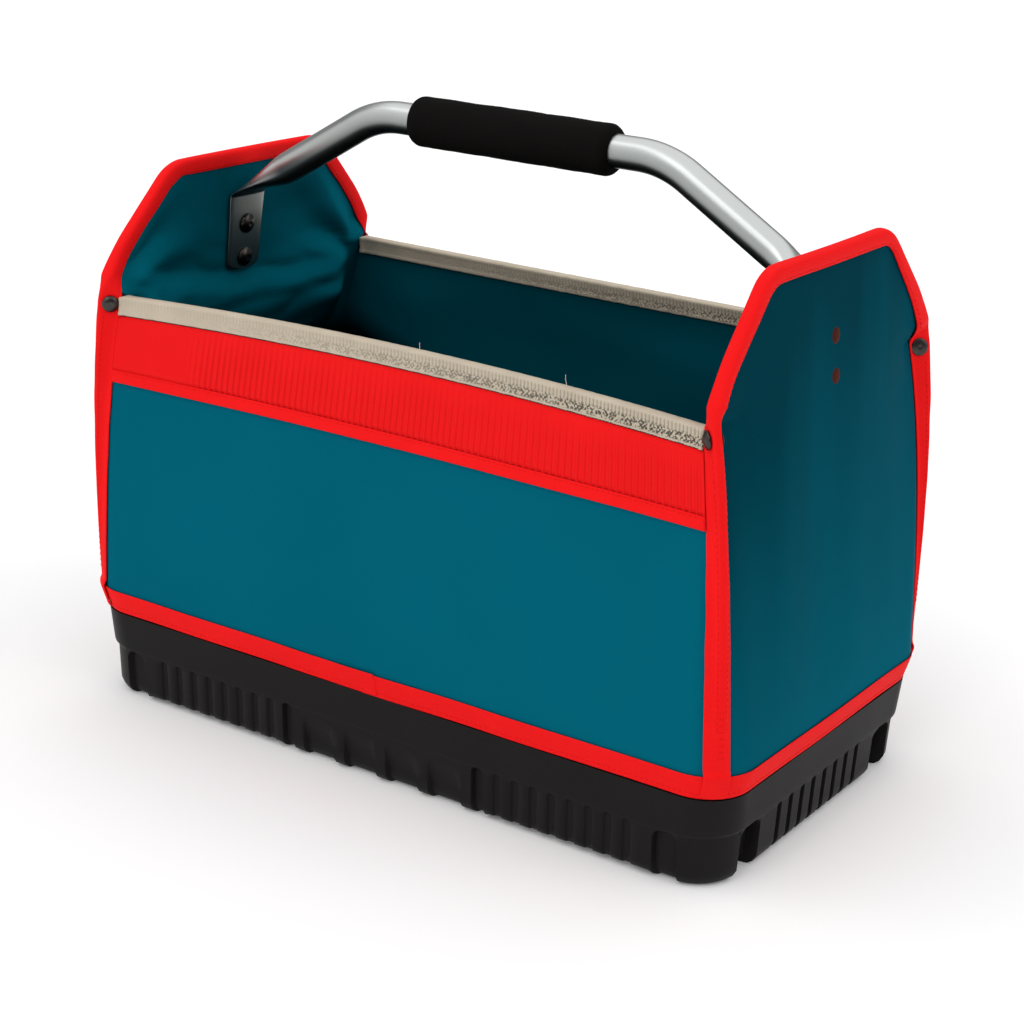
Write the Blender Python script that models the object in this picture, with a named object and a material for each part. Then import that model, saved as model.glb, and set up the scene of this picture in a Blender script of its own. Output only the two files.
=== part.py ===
import bpy
import bmesh
import math
from mathutils import Matrix, Vector

# Clearances and sheet thicknesses, in metres
GAP = 0.0003
SOFT_GAP = 0.0006
MITRE = 0.00025
SHELL = 0.0010
BOARD = 0.0018
LINING = 0.0008
TAPE = 0.0009
WALL = SHELL + BOARD + LINING + 2 * GAP

# Fabric body, outside of the teal fabric
BASE_HALF_LENGTH = 0.2522
BASE_HALF_WIDTH = 0.1352
BASE_CORNER = 0.032
BAND_TOP = 0.078
BAND_HEIGHT = 0.0167
BAND_LOW = BAND_TOP - BAND_HEIGHT
FOOT_DRAW_IN = 0.0048
FOOT_CORNER_LOSS = 0.0035
WALL_RISE = 0.205
RIM = BAND_TOP + WALL_RISE
RIM_DRAW_IN = 0.0297
RIM_HALF_LENGTH = BASE_HALF_LENGTH - RIM_DRAW_IN
RIM_NARROWING = 0.0067
RIM_HALF_WIDTH = BASE_HALF_WIDTH - RIM_NARROWING
RIM_CORNER = 0.0045
LEAN_SHARE = 0.0945
EDGE_SWELL = 0.0015
RIM_BOW = 0.012
RIM_ARCH = 0.0032
APEX_RISE = 0.0794
APEX = RIM + APEX_RISE
APEX_HALF = 0.077
EAR_RISE = 0.012
EAR_LOW = RIM + EAR_RISE
EAR_OUT = 0.0062
EAR_HALF = RIM_HALF_WIDTH + EAR_OUT
EAR_PULL = 0.0035
SHOULDER_RISE = 0.017
SHOULDER_DRAW_IN = 0.0088
SHOULDER_ROUND = 0.110
APEX_ROUND = 0.020
APEX_PULL = 0.0012

# Tray
TRAY_TOP = BAND_LOW - 2 * GAP
FLANGE_DROP = 0.003
FLANGE_TOP = BAND_TOP - FLANGE_DROP
TRAY_FLOOR = 0.008
BOARD_THICK = 0.003
RIB_TOP = 0.034
RIB_STEP = 0.002
TRAY_EASE = 0.0025
TRAY_CHAMFER = 0.007
TRAY_INSETS = ((0.0137, 0.0127, 0.006), (0.0102, 0.0087, 0.002), (0.0076, 0.0059, -0.001),
               (0.0064, 0.0046, -0.002), (0.0046, 0.0040, 0.0), (0.0031, 0.0029, 0.0025))
INSIDE_INSETS = ((0.0152, 0.0144, 0.008), (0.0162, 0.0152, 0.010))
POCKET_DEPTH = 0.003
POCKET_INSETS = ((0.0472, 0.0472, 0.012), (0.0462, 0.0462, 0.011))
LINING_LAP = 0.0138
LINING_LOW = TRAY_TOP - LINING_LAP
GROOVE_DEPTH = 0.0055
GROOVE_WIDTH = 0.0049
RIB_PITCH = 0.0134
FIRST_RIB = 0.084
NARROW_RIBS = 9
WIDE_PITCH = 0.0336
WIDE_RIB = 0.0100
NOTCH_NEAR = 0.2030
NOTCH_WIDTH = 0.0155
NOTCH_DEPTH = 0.0085
END_PITCH = 0.0150
END_GROOVE = 0.0042
END_NOTCH_NEAR = 0.0770
END_NOTCH_WIDTH = 0.0230
RAISED_EDGE = 0.004
RAISED_DEPTH = 0.018

# Bindings and trims
FRONT_LEG = 0.0112
END_LEG = 0.0050
RIM_LEG = 0.0050
FIN = 0.0115
FIN_HALF = 0.0046
FIN_PINCH = 0.0011
FIN_ROOT = 0.0019
FIN_EARLY_SHARE = 0.55
FLAT_PROUD = 0.0014
EAR_EASE = 0.0008
EASED_LOOPS = 3
BINDING_LEG = 0.0118
BINDING_TIP = 0.0022
BINDING_SWELL = 0.0003
TAPE_LEG = 0.0124
WIRE_RADIUS = 0.0019
HEM_DROP = 0.058
HEM_LOW = RIM - HEM_DROP
HEM_HEIGHT = 0.0068
RIB_BAND_LOW = HEM_LOW + HEM_HEIGHT
HEM_THICK = 0.0012
RIBBED_THICK = 0.0009

# Handle
TUBE_RADIUS = 0.0105
TUBE_WALL = 0.0014
TUBE_SIDES = 16
FOLD_RISE = 0.0502
FOLD_HEIGHT = RIM + FOLD_RISE
TUBE_RISE = 0.0668
TUBE_HEIGHT = FOLD_HEIGHT + TUBE_RISE
BEND_RADIUS = 0.070
SLANT = math.radians(30.7)
FOLD_RADIUS = 0.0045
FLAT_HALF_THICK = 0.0015
FLAT_GAP = 0.0001
FOLD_HALF_WIDTH = 0.0175
TAB_HALF_WIDTH = 0.0165
TAB_LENGTH = 0.0544
FLATTEN_LENGTH = 0.044
GRIP_RADIUS = 0.0165
GRIP_HALF = 0.079
GRIP_SHIFT = 0.003
GRIP_ROUND = 0.0050

# Rivets
RIVET_SHAFT = 0.0024
RIVET_INNER = 0.0070
RIVET_INNER_RISE = 0.0035
RIVET_OUTER = 0.0055
RIVET_OUTER_RISE = 0.0010
RIVET_DROPS = {"upper": 0.0212, "lower": 0.0452}
CORNER_DOME = 0.0050
CORNER_DOME_RISE = 0.0030
CORNER_SHAFT = 0.0018
CORNER_RIVET_DROP = 0.0045
CORNER_RIVET_HEIGHT = RIM - CORNER_RIVET_DROP
CORNER_RIVET_OUT = 0.0035

TINY = 0.0003
LEAST_ROUND = 0.0015
ARC_STEPS = 3
RISE_SHARES = (0.3, 0.55, 0.75, 0.88)
BINDING_SHARES = (0, 0.15, 0.3, 0.42, 0.55, 0.65, 0.75, 0.88, 1)
FLAT_SHARES = (0.8, 0.6, 0.4, 0.2, 0.0, -0.2, -0.4, -0.6, -0.8)
HALF_ROOT = math.sqrt(0.5)

for old in list(bpy.data.objects):
    bpy.data.objects.remove(old, do_unlink=True)


# Materials
def paint(name, colour, rough, metal):
    mat = bpy.data.materials.new(name)
    mat.use_nodes = True
    shader = mat.node_tree.nodes["Principled BSDF"]
    shader.inputs["Base Color"].default_value = (*colour, 1)
    shader.inputs["Roughness"].default_value = rough
    shader.inputs["Metallic"].default_value = metal
    mat.diffuse_color = (*colour, 1)
    return mat


LOOKS = {
    "tray_plastic": paint("tray_plastic", (0.016, 0.015, 0.015), 0.45, 0),
    "base_board": paint("base_board", (0.010, 0.010, 0.011), 0.8, 0),
    "teal_fabric": paint("teal_fabric", (0.004, 0.115, 0.165), 0.55, 0),
    "teal_lining": paint("teal_lining", (0.003, 0.060, 0.085), 0.7, 0),
    "stiffener": paint("stiffener", (0.05, 0.05, 0.05), 0.8, 0),
    "red_tape": paint("red_tape", (0.95, 0.020, 0.018), 0.65, 0),
    "red_ribbed": paint("red_ribbed", (0.93, 0.018, 0.015), 0.7, 0),
    "beige_tape": paint("beige_tape", (0.50, 0.46, 0.40), 0.85, 0),
    "rim_wire": paint("rim_wire", (0.5, 0.5, 0.5), 0.4, 1),
    "handle_alloy": paint("handle_alloy", (0.50, 0.54, 0.56), 0.35, 1),
    "grip_foam": paint("grip_foam", (0.010, 0.009, 0.009), 0.9, 0),
    "dark_rivet": paint("dark_rivet", (0.06, 0.05, 0.05), 0.35, 1),
}


# Solids
def finish(name, bm, look):
    bmesh.ops.recalc_face_normals(bm, faces=bm.faces)
    if bm.calc_volume(signed=True) < 0:
        bmesh.ops.reverse_faces(bm, faces=bm.faces)
    mesh = bpy.data.meshes.new(name)
    bm.to_mesh(mesh)
    bm.free()
    obj = bpy.data.objects.new(name, mesh)
    bpy.context.scene.collection.objects.link(obj)
    if look:
        mesh.materials.append(LOOKS[look])
    return obj


def skin(name, rings, look, ends=True, looped=False):
    bm = bmesh.new()
    loops = [[bm.verts.new(p) for p in ring] for ring in rings]
    count = len(loops[0])
    pairs = list(zip(loops, loops[1:] + loops[:1])) if looped else list(zip(loops, loops[1:]))
    for low, high in pairs:
        for i in range(count):
            j = (i + 1) % count
            bm.faces.new((low[i], low[j], high[j], high[i]))
    if ends and not looped:
        bm.faces.new(loops[0])
        bm.faces.new(loops[-1])
    return finish(name, bm, look)


def slab(name, outer, inner, look):
    bm = bmesh.new()
    a = [[bm.verts.new(p) for p in row] for row in outer]
    b = [[bm.verts.new(p) for p in row] for row in inner]
    rows, cols = len(a), len(a[0])
    for i in range(rows - 1):
        for j in range(cols - 1):
            bm.faces.new((a[i][j], a[i][j + 1], a[i + 1][j + 1], a[i + 1][j]))
            bm.faces.new((b[i][j], b[i + 1][j], b[i + 1][j + 1], b[i][j + 1]))
        bm.faces.new((a[i][0], a[i + 1][0], b[i + 1][0], b[i][0]))
        bm.faces.new((a[i][-1], b[i][-1], b[i + 1][-1], a[i + 1][-1]))
    for j in range(cols - 1):
        bm.faces.new((a[0][j], b[0][j], b[0][j + 1], a[0][j + 1]))
        bm.faces.new((a[-1][j], a[-1][j + 1], b[-1][j + 1], b[-1][j]))
    return finish(name, bm, look)


def cut(target, cutter):
    cutter.hide_render = True
    cutter.display_type = "WIRE"
    mod = target.modifiers.new("cut", "BOOLEAN")
    mod.operation = "DIFFERENCE"
    mod.solver = "EXACT"
    mod.object = cutter
    bpy.context.view_layer.update()
    graph = bpy.context.evaluated_depsgraph_get()
    mesh = bpy.data.meshes.new_from_object(target.evaluated_get(graph))
    target.modifiers.clear()
    target.data = mesh
    bpy.data.objects.remove(cutter, do_unlink=True)


def turned(name, origin, axis, side, profile, look, steps=24):
    third = axis.cross(side)
    rings = []
    for reach, radius in profile:
        ring = []
        for k in range(steps):
            turn = math.tau * k / steps
            spoke = side * math.cos(turn) + third * math.sin(turn)
            ring.append(origin + axis * reach + spoke * radius)
        rings.append(ring)
    return skin(name, rings, look)


# Shape of the bag at each height
def mix(a, b, share):
    return a + (b - a) * share


def climb(z):
    return min(max((z - BAND_TOP) / (RIM - BAND_TOP), 0), 1)


def stepped(curve, share):
    knots = (0, *RISE_SHARES, 1)
    for low, high in zip(knots, knots[1:]):
        if share <= high:
            return mix(curve(low), curve(high), (share - low) / (high - low))
    return curve(1)


def foot(z):
    return min(max((BAND_TOP - z) / (BAND_TOP - BAND_LOW), 0), 1)


def end_middle(z):
    return BASE_HALF_LENGTH - LEAN_SHARE * max(z - BAND_TOP, 0) - FOOT_DRAW_IN * foot(z)


def flare(z):
    return min(max((z - RIM) / EAR_RISE, 0), 1)


def pull(z):
    below = (end_middle(RIM) - RIM_HALF_LENGTH) * stepped(lambda t: t ** 3, climb(z))
    above = mix(EAR_PULL, APEX_PULL, min(max((z - EAR_LOW) / (APEX - EAR_LOW), 0), 1))
    return mix(below, above, flare(z))


def half_length(z):
    return end_middle(z) - pull(z)


def swelling(share):
    return 4 * share * (1 - share)


def half_width(z):
    t = climb(z)
    return mix(BASE_HALF_WIDTH, RIM_HALF_WIDTH, t) - FOOT_DRAW_IN * foot(z) + EDGE_SWELL * stepped(swelling, t)


def corner_round(z):
    return mix(BASE_CORNER, RIM_CORNER, climb(z)) - FOOT_CORNER_LOSS * foot(z)


def bow(z):
    return RIM_BOW * stepped(lambda t: t ** 1.5, climb(z))


def centre(z, d):
    inset = max(corner_round(z), d + LEAST_ROUND)
    return half_length(z) - inset, half_width(z) - inset, inset - d


def rim_height(share):
    return RIM + RIM_ARCH * (1 - share * share)


def front_at(x, z, d):
    share = min(abs(x) / (half_length(z) - corner_round(z)), 1)
    return Vector((x, -(half_width(z) - d - bow(z) * (1 - share * share)), z))


def end_at(y, z, d):
    share = min(abs(y) / (edge_half(z) - corner_round(z) * (1 - flare(z))), 1)
    return Vector((end_middle(z) - pull(z) * share * share - d, y, z))


def corner_at(u, z, d):
    cx, cy, r = centre(z, d)
    arc = r * math.pi / 4
    if abs(u) <= arc:
        turn = math.pi / 4 - u / r
        return Vector((cx + r * math.cos(turn), -(cy + r * math.sin(turn)), z))
    past = abs(u) - arc
    return front_at(cx - past, z, d) if u < 0 else end_at(-(cy - past), z, d)


# Walls, from the foot up, for each layer depth
def front_column(index, z, d):
    cx, cy, r = centre(z, d)
    last = 2 * ARC_STEPS + len(FLAT_SHARES) + 1
    if index <= ARC_STEPS:
        turn = math.pi / 4 * (1 + index / ARC_STEPS)
        p = Vector((cx + r * math.cos(turn), -(cy + r * math.sin(turn)), z))
        p.x -= MITRE if index == 0 else 0
        return p
    if index >= last - ARC_STEPS:
        p = front_column(last - index, z, d)
        return Vector((-p.x, p.y, p.z))
    return front_at(cx * FLAT_SHARES[index - ARC_STEPS - 1], z, d)


def end_column(index, z, d):
    cx, cy, r = centre(z, d)
    last = 2 * ARC_STEPS + len(FLAT_SHARES) + 1
    if index <= ARC_STEPS:
        turn = math.pi / 4 * (1 + index / ARC_STEPS)
        p = Vector((cx + r * math.sin(turn), -(cy + r * math.cos(turn)), z))
        p.y += MITRE if index == 0 else 0
        return p
    if index >= last - ARC_STEPS:
        p = end_column(last - index, z, d)
        return Vector((p.x, -p.y, p.z))
    return end_at(-cy * FLAT_SHARES[index - ARC_STEPS - 1], z, d)


COLUMNS = 2 * ARC_STEPS + len(FLAT_SHARES) + 2


def wall_rows(low):
    first = [low] + [z for z in (BAND_LOW, BAND_TOP) if z > low + GAP]
    return first + [mix(BAND_TOP, RIM, share) for share in RISE_SHARES]


def front_grid(d, low, drop):
    rows = wall_rows(low) + [None]
    grid = []
    for z in rows:
        row = []
        for index in range(COLUMNS):
            share = front_column(index, RIM, 0).x / RIM_HALF_LENGTH
            height = rim_height(share) - drop if z is None else z
            row.append(front_column(index, height, d))
        grid.append(row)
    return grid


def outline():
    corners = [Vector((EAR_HALF, EAR_LOW)), Vector((EAR_HALF - SHOULDER_DRAW_IN, EAR_LOW + SHOULDER_RISE)),
               Vector((APEX_HALF, APEX)), Vector((0, APEX))]
    rounds = (SHOULDER_ROUND, APEX_ROUND)
    path = [corners[0]]
    normals = [Vector((SHOULDER_RISE, SHOULDER_DRAW_IN)).normalized()]
    for k, radius in enumerate(rounds):
        before = (corners[k] - corners[k + 1]).normalized()
        after = (corners[k + 2] - corners[k + 1]).normalized()
        half = before.angle(after) / 2
        reach = min(radius / math.tan(half), (corners[k] - corners[k + 1]).length * 0.95)
        size = reach * math.tan(half)
        middle = corners[k + 1] + (before + after).normalized() * (size / math.sin(half))
        first = corners[k + 1] + before * reach - middle
        second = corners[k + 1] + after * reach - middle
        steps = 3
        for s in range(steps + 1):
            spoke = first.slerp(second, s / steps).normalized()
            path.append(middle + spoke * size)
            normals.append(spoke)
        if k == 0:
            path.append((path[-1] + corners[2]) / 2)
            normals.append(normals[-1])
    return path, normals


def edge_half(z):
    path, _ = outline()
    if z <= EAR_LOW:
        return mix(half_width(z), EAR_HALF, flare(z))
    for a, b in zip(path, path[1:]):
        if a.y <= z <= b.y:
            return mix(a.x, b.x, (z - a.y) / (b.y - a.y)) if b.y > a.y else b.x
    return path[-1].x


def end_grid(d, low):
    rows = wall_rows(low) + [RIM]
    grid = [[end_column(i, z, d) for i in range(COLUMNS)] for z in rows]
    shares = [p.y / abs(grid[-1][0].y) for p in grid[-1]]
    path, _ = outline()
    for point in path:
        grid.append([end_at(v * point.x, point.y, d) for v in shares])
    return grid


def turned_round(grid):
    return [[Vector((-p.x, -p.y, p.z)) for p in row] for row in grid]


LAYERS = (("panel", 0, SHELL, BAND_LOW, "teal_fabric"),
          ("stiffener", SHELL + GAP, SHELL + GAP + BOARD, FLANGE_TOP + GAP, "stiffener"),
          ("lining", WALL - LINING, WALL, LINING_LOW, "teal_lining"))
WIRE_DROP = TAPE + GAP + WIRE_RADIUS
WALL_DROP = WIRE_DROP + WIRE_RADIUS + GAP
end_layers = {1: [], -1: []}
for layer, near, far, low, look in LAYERS:
    outer, inner = front_grid(near, low, WALL_DROP), front_grid(far, low, WALL_DROP)
    slab("front_" + layer, outer, inner, look)
    slab("rear_" + layer, turned_round(outer), turned_round(inner), look)
    outer, inner = end_grid(near, low), end_grid(far, low)
    end_layers[1].append(slab("right_" + layer, outer, inner, look))
    end_layers[-1].append(slab("left_" + layer, turned_round(outer), turned_round(inner), look))


# Tray with its ribs and notches
def plan_ring(hx, hy, r, z):
    ring = []
    for quarter in range(4):
        sx, sy = ((1, 1), (-1, 1), (-1, -1), (1, -1))[quarter]
        for k in range(2 * ARC_STEPS + 1):
            turn = math.pi / 2 * (quarter + k / (2 * ARC_STEPS))
            ring.append(Vector((sx * (hx - r) + r * math.cos(turn), sy * (hy - r) + r * math.sin(turn), z)))
    return ring


def body_ring(z, d):
    cx, cy, r = centre(z, d)
    return plan_ring(cx + r, cy + r, r, z)


def tray_ring(z, insets):
    along, across, tighter = insets
    return plan_ring(BASE_HALF_LENGTH - along, BASE_HALF_WIDTH - across, BASE_CORNER - tighter, z)


tray_heights = (0, TRAY_EASE, TRAY_CHAMFER, RIB_TOP - GAP, RIB_TOP + RIB_STEP, TRAY_TOP)
rings = [tray_ring(z, insets) for z, insets in zip((POCKET_DEPTH, 0), POCKET_INSETS)]
rings += [tray_ring(z, insets) for z, insets in zip(tray_heights, TRAY_INSETS)]
rings += [body_ring(z, SHELL + GAP) for z in (TRAY_TOP, BAND_LOW, FLANGE_TOP)]
rings += [body_ring(z, SHELL + GAP + BOARD) for z in (FLANGE_TOP, BAND_LOW, TRAY_TOP, LINING_LOW - GAP)]
rings += [body_ring(LINING_LOW - GAP, WALL + GAP)]
rings += [tray_ring(z, insets) for z, insets in zip((RIB_TOP + RIB_STEP + GAP, TRAY_FLOOR), INSIDE_INSETS)]
tray = skin("base_tray", rings, "tray_plastic")


def arch_cutter(bm, middle, width, depth, face, along_x, sign, crown):
    half = width / 2
    profile = [(-half, -crown), (half, -crown)]
    for k in range(4):
        turn = math.pi * k / 3
        profile.append((half * math.cos(turn), RIB_TOP - crown + crown * math.sin(turn)))
    loops = []
    for reach in (face - depth, face + depth):
        loop = []
        for a, z in profile:
            place = (middle + a, sign * reach, z) if along_x else (sign * reach, middle + a, z)
            loop.append(bm.verts.new(place))
        loops.append(loop)
    count = len(profile)
    for i in range(count):
        j = (i + 1) % count
        bm.faces.new((loops[0][i], loops[0][j], loops[1][j], loops[1][i]))
    bm.faces.new(loops[0])
    bm.faces.new(loops[1])


def box(bm, low, high):
    matrix = Matrix.Translation((Vector(low) + Vector(high)) / 2)
    size = Vector(high) - Vector(low)
    made = bmesh.ops.create_cube(bm, size=1, matrix=matrix @ Matrix.Diagonal((*size, 1)))
    return made


bm = bmesh.new()
front_face, end_face = BASE_HALF_WIDTH - TRAY_INSETS[3][1], BASE_HALF_LENGTH - TRAY_INSETS[3][0]
for sign in (-1, 1):
    for side in (-1, 1):
        for k in range(NARROW_RIBS - 1):
            place = side * (FIRST_RIB + RIB_PITCH * (k + 0.5))
            arch_cutter(bm, place, GROOVE_WIDTH, GROOVE_DEPTH, front_face, True, sign, GROOVE_WIDTH / 3)
        edge = FIRST_RIB - RIB_PITCH / 2 + GROOVE_WIDTH / 2
        near = 2 * WIDE_PITCH + WIDE_RIB / 2
        arch_cutter(bm, side * (edge + near) / 2, edge - near, GROOVE_DEPTH, front_face, True, sign, GROOVE_WIDTH / 3)
        for k in range(2):
            place = side * WIDE_PITCH * (k + 0.5)
            arch_cutter(bm, place, WIDE_PITCH - WIDE_RIB, GROOVE_DEPTH, front_face, True, sign, GROOVE_WIDTH)
        arch_cutter(bm, side * (NOTCH_NEAR + NOTCH_WIDTH / 2), NOTCH_WIDTH, NOTCH_DEPTH,
                    front_face, True, sign, GROOVE_WIDTH)
        arch_cutter(bm, side * (END_NOTCH_NEAR + END_NOTCH_WIDTH / 2), END_NOTCH_WIDTH,
                    NOTCH_DEPTH, end_face, False, sign, GROOVE_WIDTH)
        for k in range(4):
            arch_cutter(bm, side * END_PITCH * (k + 0.5), END_GROOVE, GROOVE_DEPTH, end_face, False, sign,
                        GROOVE_WIDTH / 3)
cut(tray, finish("groove_cutter", bm, None))
bm = bmesh.new()
for sign in (-1, 1):
    for side in (-1, 1):
        xs = sorted((side * (edge + TINY), side * (NOTCH_NEAR + TINY)))
        ys = sorted((sign * (front_face - RAISED_DEPTH), sign * (front_face + GROOVE_WIDTH)))
        box(bm, (xs[0], ys[0], -RAISED_EDGE), (xs[1], ys[1], RAISED_EDGE))
cut(tray, finish("edge_cutter", bm, None))

along, across, tighter = INSIDE_INSETS[1]
board_insets = (along + SOFT_GAP, across + SOFT_GAP, tighter + SOFT_GAP)
board_low = TRAY_FLOOR + GAP
skin("base_board", [tray_ring(z, board_insets) for z in (board_low, board_low + BOARD_THICK)], "base_board")

# Red band round the foot
rings = []
for z, d in ((BAND_LOW, -GAP), (BAND_TOP, -GAP), (BAND_TOP, -GAP - TAPE), (mix(BAND_LOW, BAND_TOP, 0.5), -2 * TAPE),
             (BAND_LOW, -GAP - TAPE - TAPE / 2)):
    rings.append(body_ring(z, d))
skin("bottom_band", rings, "red_tape", looped=True)


# Edge bindings, up one corner, over the end wall and down the other corner
FIN_SHARES = ((0.88, 0.72), (1.0, 0.36))
LEG_SHARES = (1.0, 0.8)
LEG_FLAT_SHARES = (0.41, 0.29, 0.145)


def fin_height(z):
    share = climb(z)
    return share * (FIN_EARLY_SHARE + (1 - FIN_EARLY_SHARE) * share * share)


def fin_half(z):
    return FIN_HALF - FIN_PINCH * climb(z) ** 6


def leg(z, sign):
    return mix(FRONT_LEG if sign < 0 else END_LEG, RIM_LEG, climb(z) ** 1.5)


def corner_loop(z, lift):
    rise = fin_height(z)
    corner = Vector((half_length(z) + GAP, -(half_width(z) + GAP), z))
    outer, inner = [], []
    half = fin_half(z)
    for sign in (-1, 1):
        near, far = [], []
        reach = sign * leg(z, sign)
        for share in LEG_SHARES:
            far.append(corner_at(reach * share, z, -SOFT_GAP - TAPE - lift))
            near.append(corner_at(reach * share, z, -SOFT_GAP - lift))
        fin_points = [(-FIN_ROOT, half)] + [(FIN * s, half * t) for s, t in FIN_SHARES]
        for (out, wide), share in zip(fin_points, LEG_FLAT_SHARES):
            fin = corner + Vector((out + sign * wide, -out + sign * wide, 0)) * HALF_ROOT
            flat = corner_at(reach * share, z, -GAP - FLAT_PROUD - lift)
            far.append(flat.lerp(fin, rise))
            near.append(corner_at(reach * share, z, -GAP - SOFT_GAP * rise - lift))
        outer.append(far)
        inner.append(near)
    return outer[0] + outer[1][::-1] + inner[1] + inner[0][::-1]


def edge_loop(point, normal, ease=0):
    inside, outside = -WALL - SOFT_GAP - ease, SOFT_GAP + ease
    inner_x, outer_x = inside - TAPE, outside + TAPE
    tip = BINDING_TIP
    half = BINDING_LEG * 0.5
    far = ((-BINDING_LEG, inner_x), (-half, inner_x - BINDING_SWELL), (0, inner_x), (tip * 0.55, inner_x + TAPE),
           (tip, inner_x + tip), (tip, outer_x - tip), (tip * 0.55, outer_x - TAPE), (0, outer_x),
           (-half, outer_x + BINDING_SWELL), (-BINDING_LEG, outer_x))
    near = ((-BINDING_LEG, inside), (-half, inside), (0, inside), (GAP, inside), (GAP, -WALL * 0.6),
            (GAP, -WALL * 0.4), (GAP, outside), (0, outside), (-half, outside), (-BINDING_LEG, outside))
    loop = []
    for reach, shift in far + near[::-1]:
        covered = point + normal * min(reach, 0)
        place = end_at(covered.x, min(covered.y, APEX), 0)
        place.x += shift
        spot = point + normal * reach
        loop.append(Vector((place.x, -spot.x, spot.y)))
    return loop


def far_side(loop):
    flipped = [Vector((p.x, -p.y, p.z)) for p in loop]
    return flipped


overlap_top = BAND_TOP + GAP
lift = 2 * TAPE
half_rings = [corner_loop(z, lift) for z in (BAND_LOW + GAP, (BAND_LOW + BAND_TOP) / 2, overlap_top)]
for share in BINDING_SHARES:
    half_rings.append(corner_loop(mix(overlap_top + GAP, RIM, share), 0))
path, normals = outline()
eases = [EAR_EASE] * EASED_LOOPS + [0] * (len(path) - EASED_LOOPS)
half_rings += [edge_loop(p, n, ease) for p, n, ease in zip(path, normals, eases)]
crest = [edge_loop(Vector((path[-1].x * share, APEX)), normals[-1]) for share in (0.6, 0.2, -0.2, -0.6)]
rings = half_rings + crest + [far_side(ring) for ring in half_rings[::-1]]


def rivet_frame(x_sign, y_sign):
    heights = (CORNER_RIVET_HEIGHT - CORNER_DOME, CORNER_RIVET_HEIGHT)
    below, above = [Vector((x_sign * half_length(z), y_sign * half_width(z), z)) for z in heights]
    out = Vector((x_sign, y_sign, 0)).normalized()
    across = out.cross(above - below).normalized()
    return above + out * CORNER_RIVET_OUT, across, out


def dome(rise, radius, steps=3):
    return [(rise * math.cos(k / steps * math.pi / 2), max(radius * math.sin(k / steps * math.pi / 2), TINY))
            for k in range(steps + 1)]


for x_sign, side_name in ((1, "right"), (-1, "left")):
    turned_rings = rings if x_sign > 0 else [[Vector((-p.x, -p.y, p.z)) for p in ring] for ring in rings]
    binding = skin(side_name + "_binding", turned_rings, "red_tape")
    for y_sign, end_name in ((-1, "front"), (1, "rear")):
        origin, across, out = rivet_frame(x_sign, y_sign)
        reach = 2 * FIN
        hole = turned("hole", origin, across, out, ((-reach, CORNER_SHAFT + GAP), (reach, CORNER_SHAFT + GAP)), None, 10)
        cut(binding, hole)
        seat = fin_half(CORNER_RIVET_HEIGHT - CORNER_DOME) + GAP
        head = [(seat + a, b) for a, b in dome(CORNER_DOME_RISE, CORNER_DOME)]
        profile = [(-a, b) for a, b in head] + [(-seat, CORNER_SHAFT), (seat, CORNER_SHAFT)] + head[::-1]
        turned(end_name + "_" + side_name + "_corner_rivet", origin, across, out, profile, "dark_rivet", 14)


# Rim wires, tapes and the ribbed bands
def spread(half, count):
    return [mix(-half, half, k / (count - 1)) for k in range(count)]


def trim_reach(z):
    return corner_at(-leg(z, -1), z, 0).x - SOFT_GAP - GAP


def rim_point(x, drop, d):
    share = x / RIM_HALF_LENGTH
    point = front_at(x, min(rim_height(share) - drop, RIM), d)
    return Vector((x, point.y, rim_height(share) - drop))


tape_section = []
top = TAPE * 1.2
out, back = -SOFT_GAP, WALL + SOFT_GAP
for drop, d in ((TAPE_LEG, out - TAPE), (top, out - TAPE), (0, out + TAPE / 2), (0, back - TAPE / 2), (top, back + TAPE),
                (TAPE_LEG, back + TAPE), (TAPE_LEG, back), (TAPE, back), (TAPE, out), (TAPE_LEG, out)):
    tape_section.append((drop, d))
tape_rings = [[rim_point(x, drop, d) for drop, d in tape_section] for x in spread(trim_reach(RIM), 19)]
wire_rings = []
for x in spread(trim_reach(RIM) - GAP, 19):
    ring = []
    for k in range(10):
        turn = math.tau * k / 10
        ring.append(rim_point(x, WIRE_DROP + WIRE_RADIUS * math.cos(turn), WALL / 2 + WIRE_RADIUS * math.sin(turn)))
    wire_rings.append(ring)


def trim_grid(heights, arched, d):
    grid = []
    for z in heights:
        row = []
        for x in spread(trim_reach(z), 2 * len(FLAT_SHARES) + 1):
            climbing = rim_height(x / RIM_HALF_LENGTH) - RIM if arched and z == heights[-1] else 0
            row.append(front_at(x, z + climbing, d))
        grid.append(row)
    return grid


def flipped(shape):
    return [[Vector((-p.x, -p.y, p.z)) for p in row] for row in shape]


band_heights = (RIB_BAND_LOW + GAP, mix(RIB_BAND_LOW, RIM - TAPE_LEG, 0.5), RIM - TAPE_LEG - SOFT_GAP)
band_out, band_in = [trim_grid(band_heights, True, d) for d in (-SOFT_GAP - RIBBED_THICK, -SOFT_GAP)]
hem_out, hem_in = [trim_grid((HEM_LOW, RIB_BAND_LOW), False, d) for d in (-SOFT_GAP - HEM_THICK, -SOFT_GAP)]
for name, turn_it in (("front", lambda shape: shape), ("rear", flipped)):
    skin(name + "_rim_tape", turn_it(tape_rings), "beige_tape")
    skin(name + "_rim_wire", turn_it(wire_rings), "rim_wire")
    slab(name + "_ribbed_band", turn_it(band_out), turn_it(band_in), "red_ribbed")
    slab(name + "_band_hem", turn_it(hem_out), turn_it(hem_in), "red_tape")

# Handle tube with flattened riveted ends
tab_lean = math.atan(LEAN_SHARE)
tab_turn = math.pi / 2 - tab_lean
stations = []


def add_station(x, z, turn, half_wide, half_thick):
    stations.append((x, z, turn, half_wide, half_thick))


def face_x(z):
    return end_middle(z) - WALL - GAP - FLAT_HALF_THICK / math.cos(tab_lean)


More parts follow.
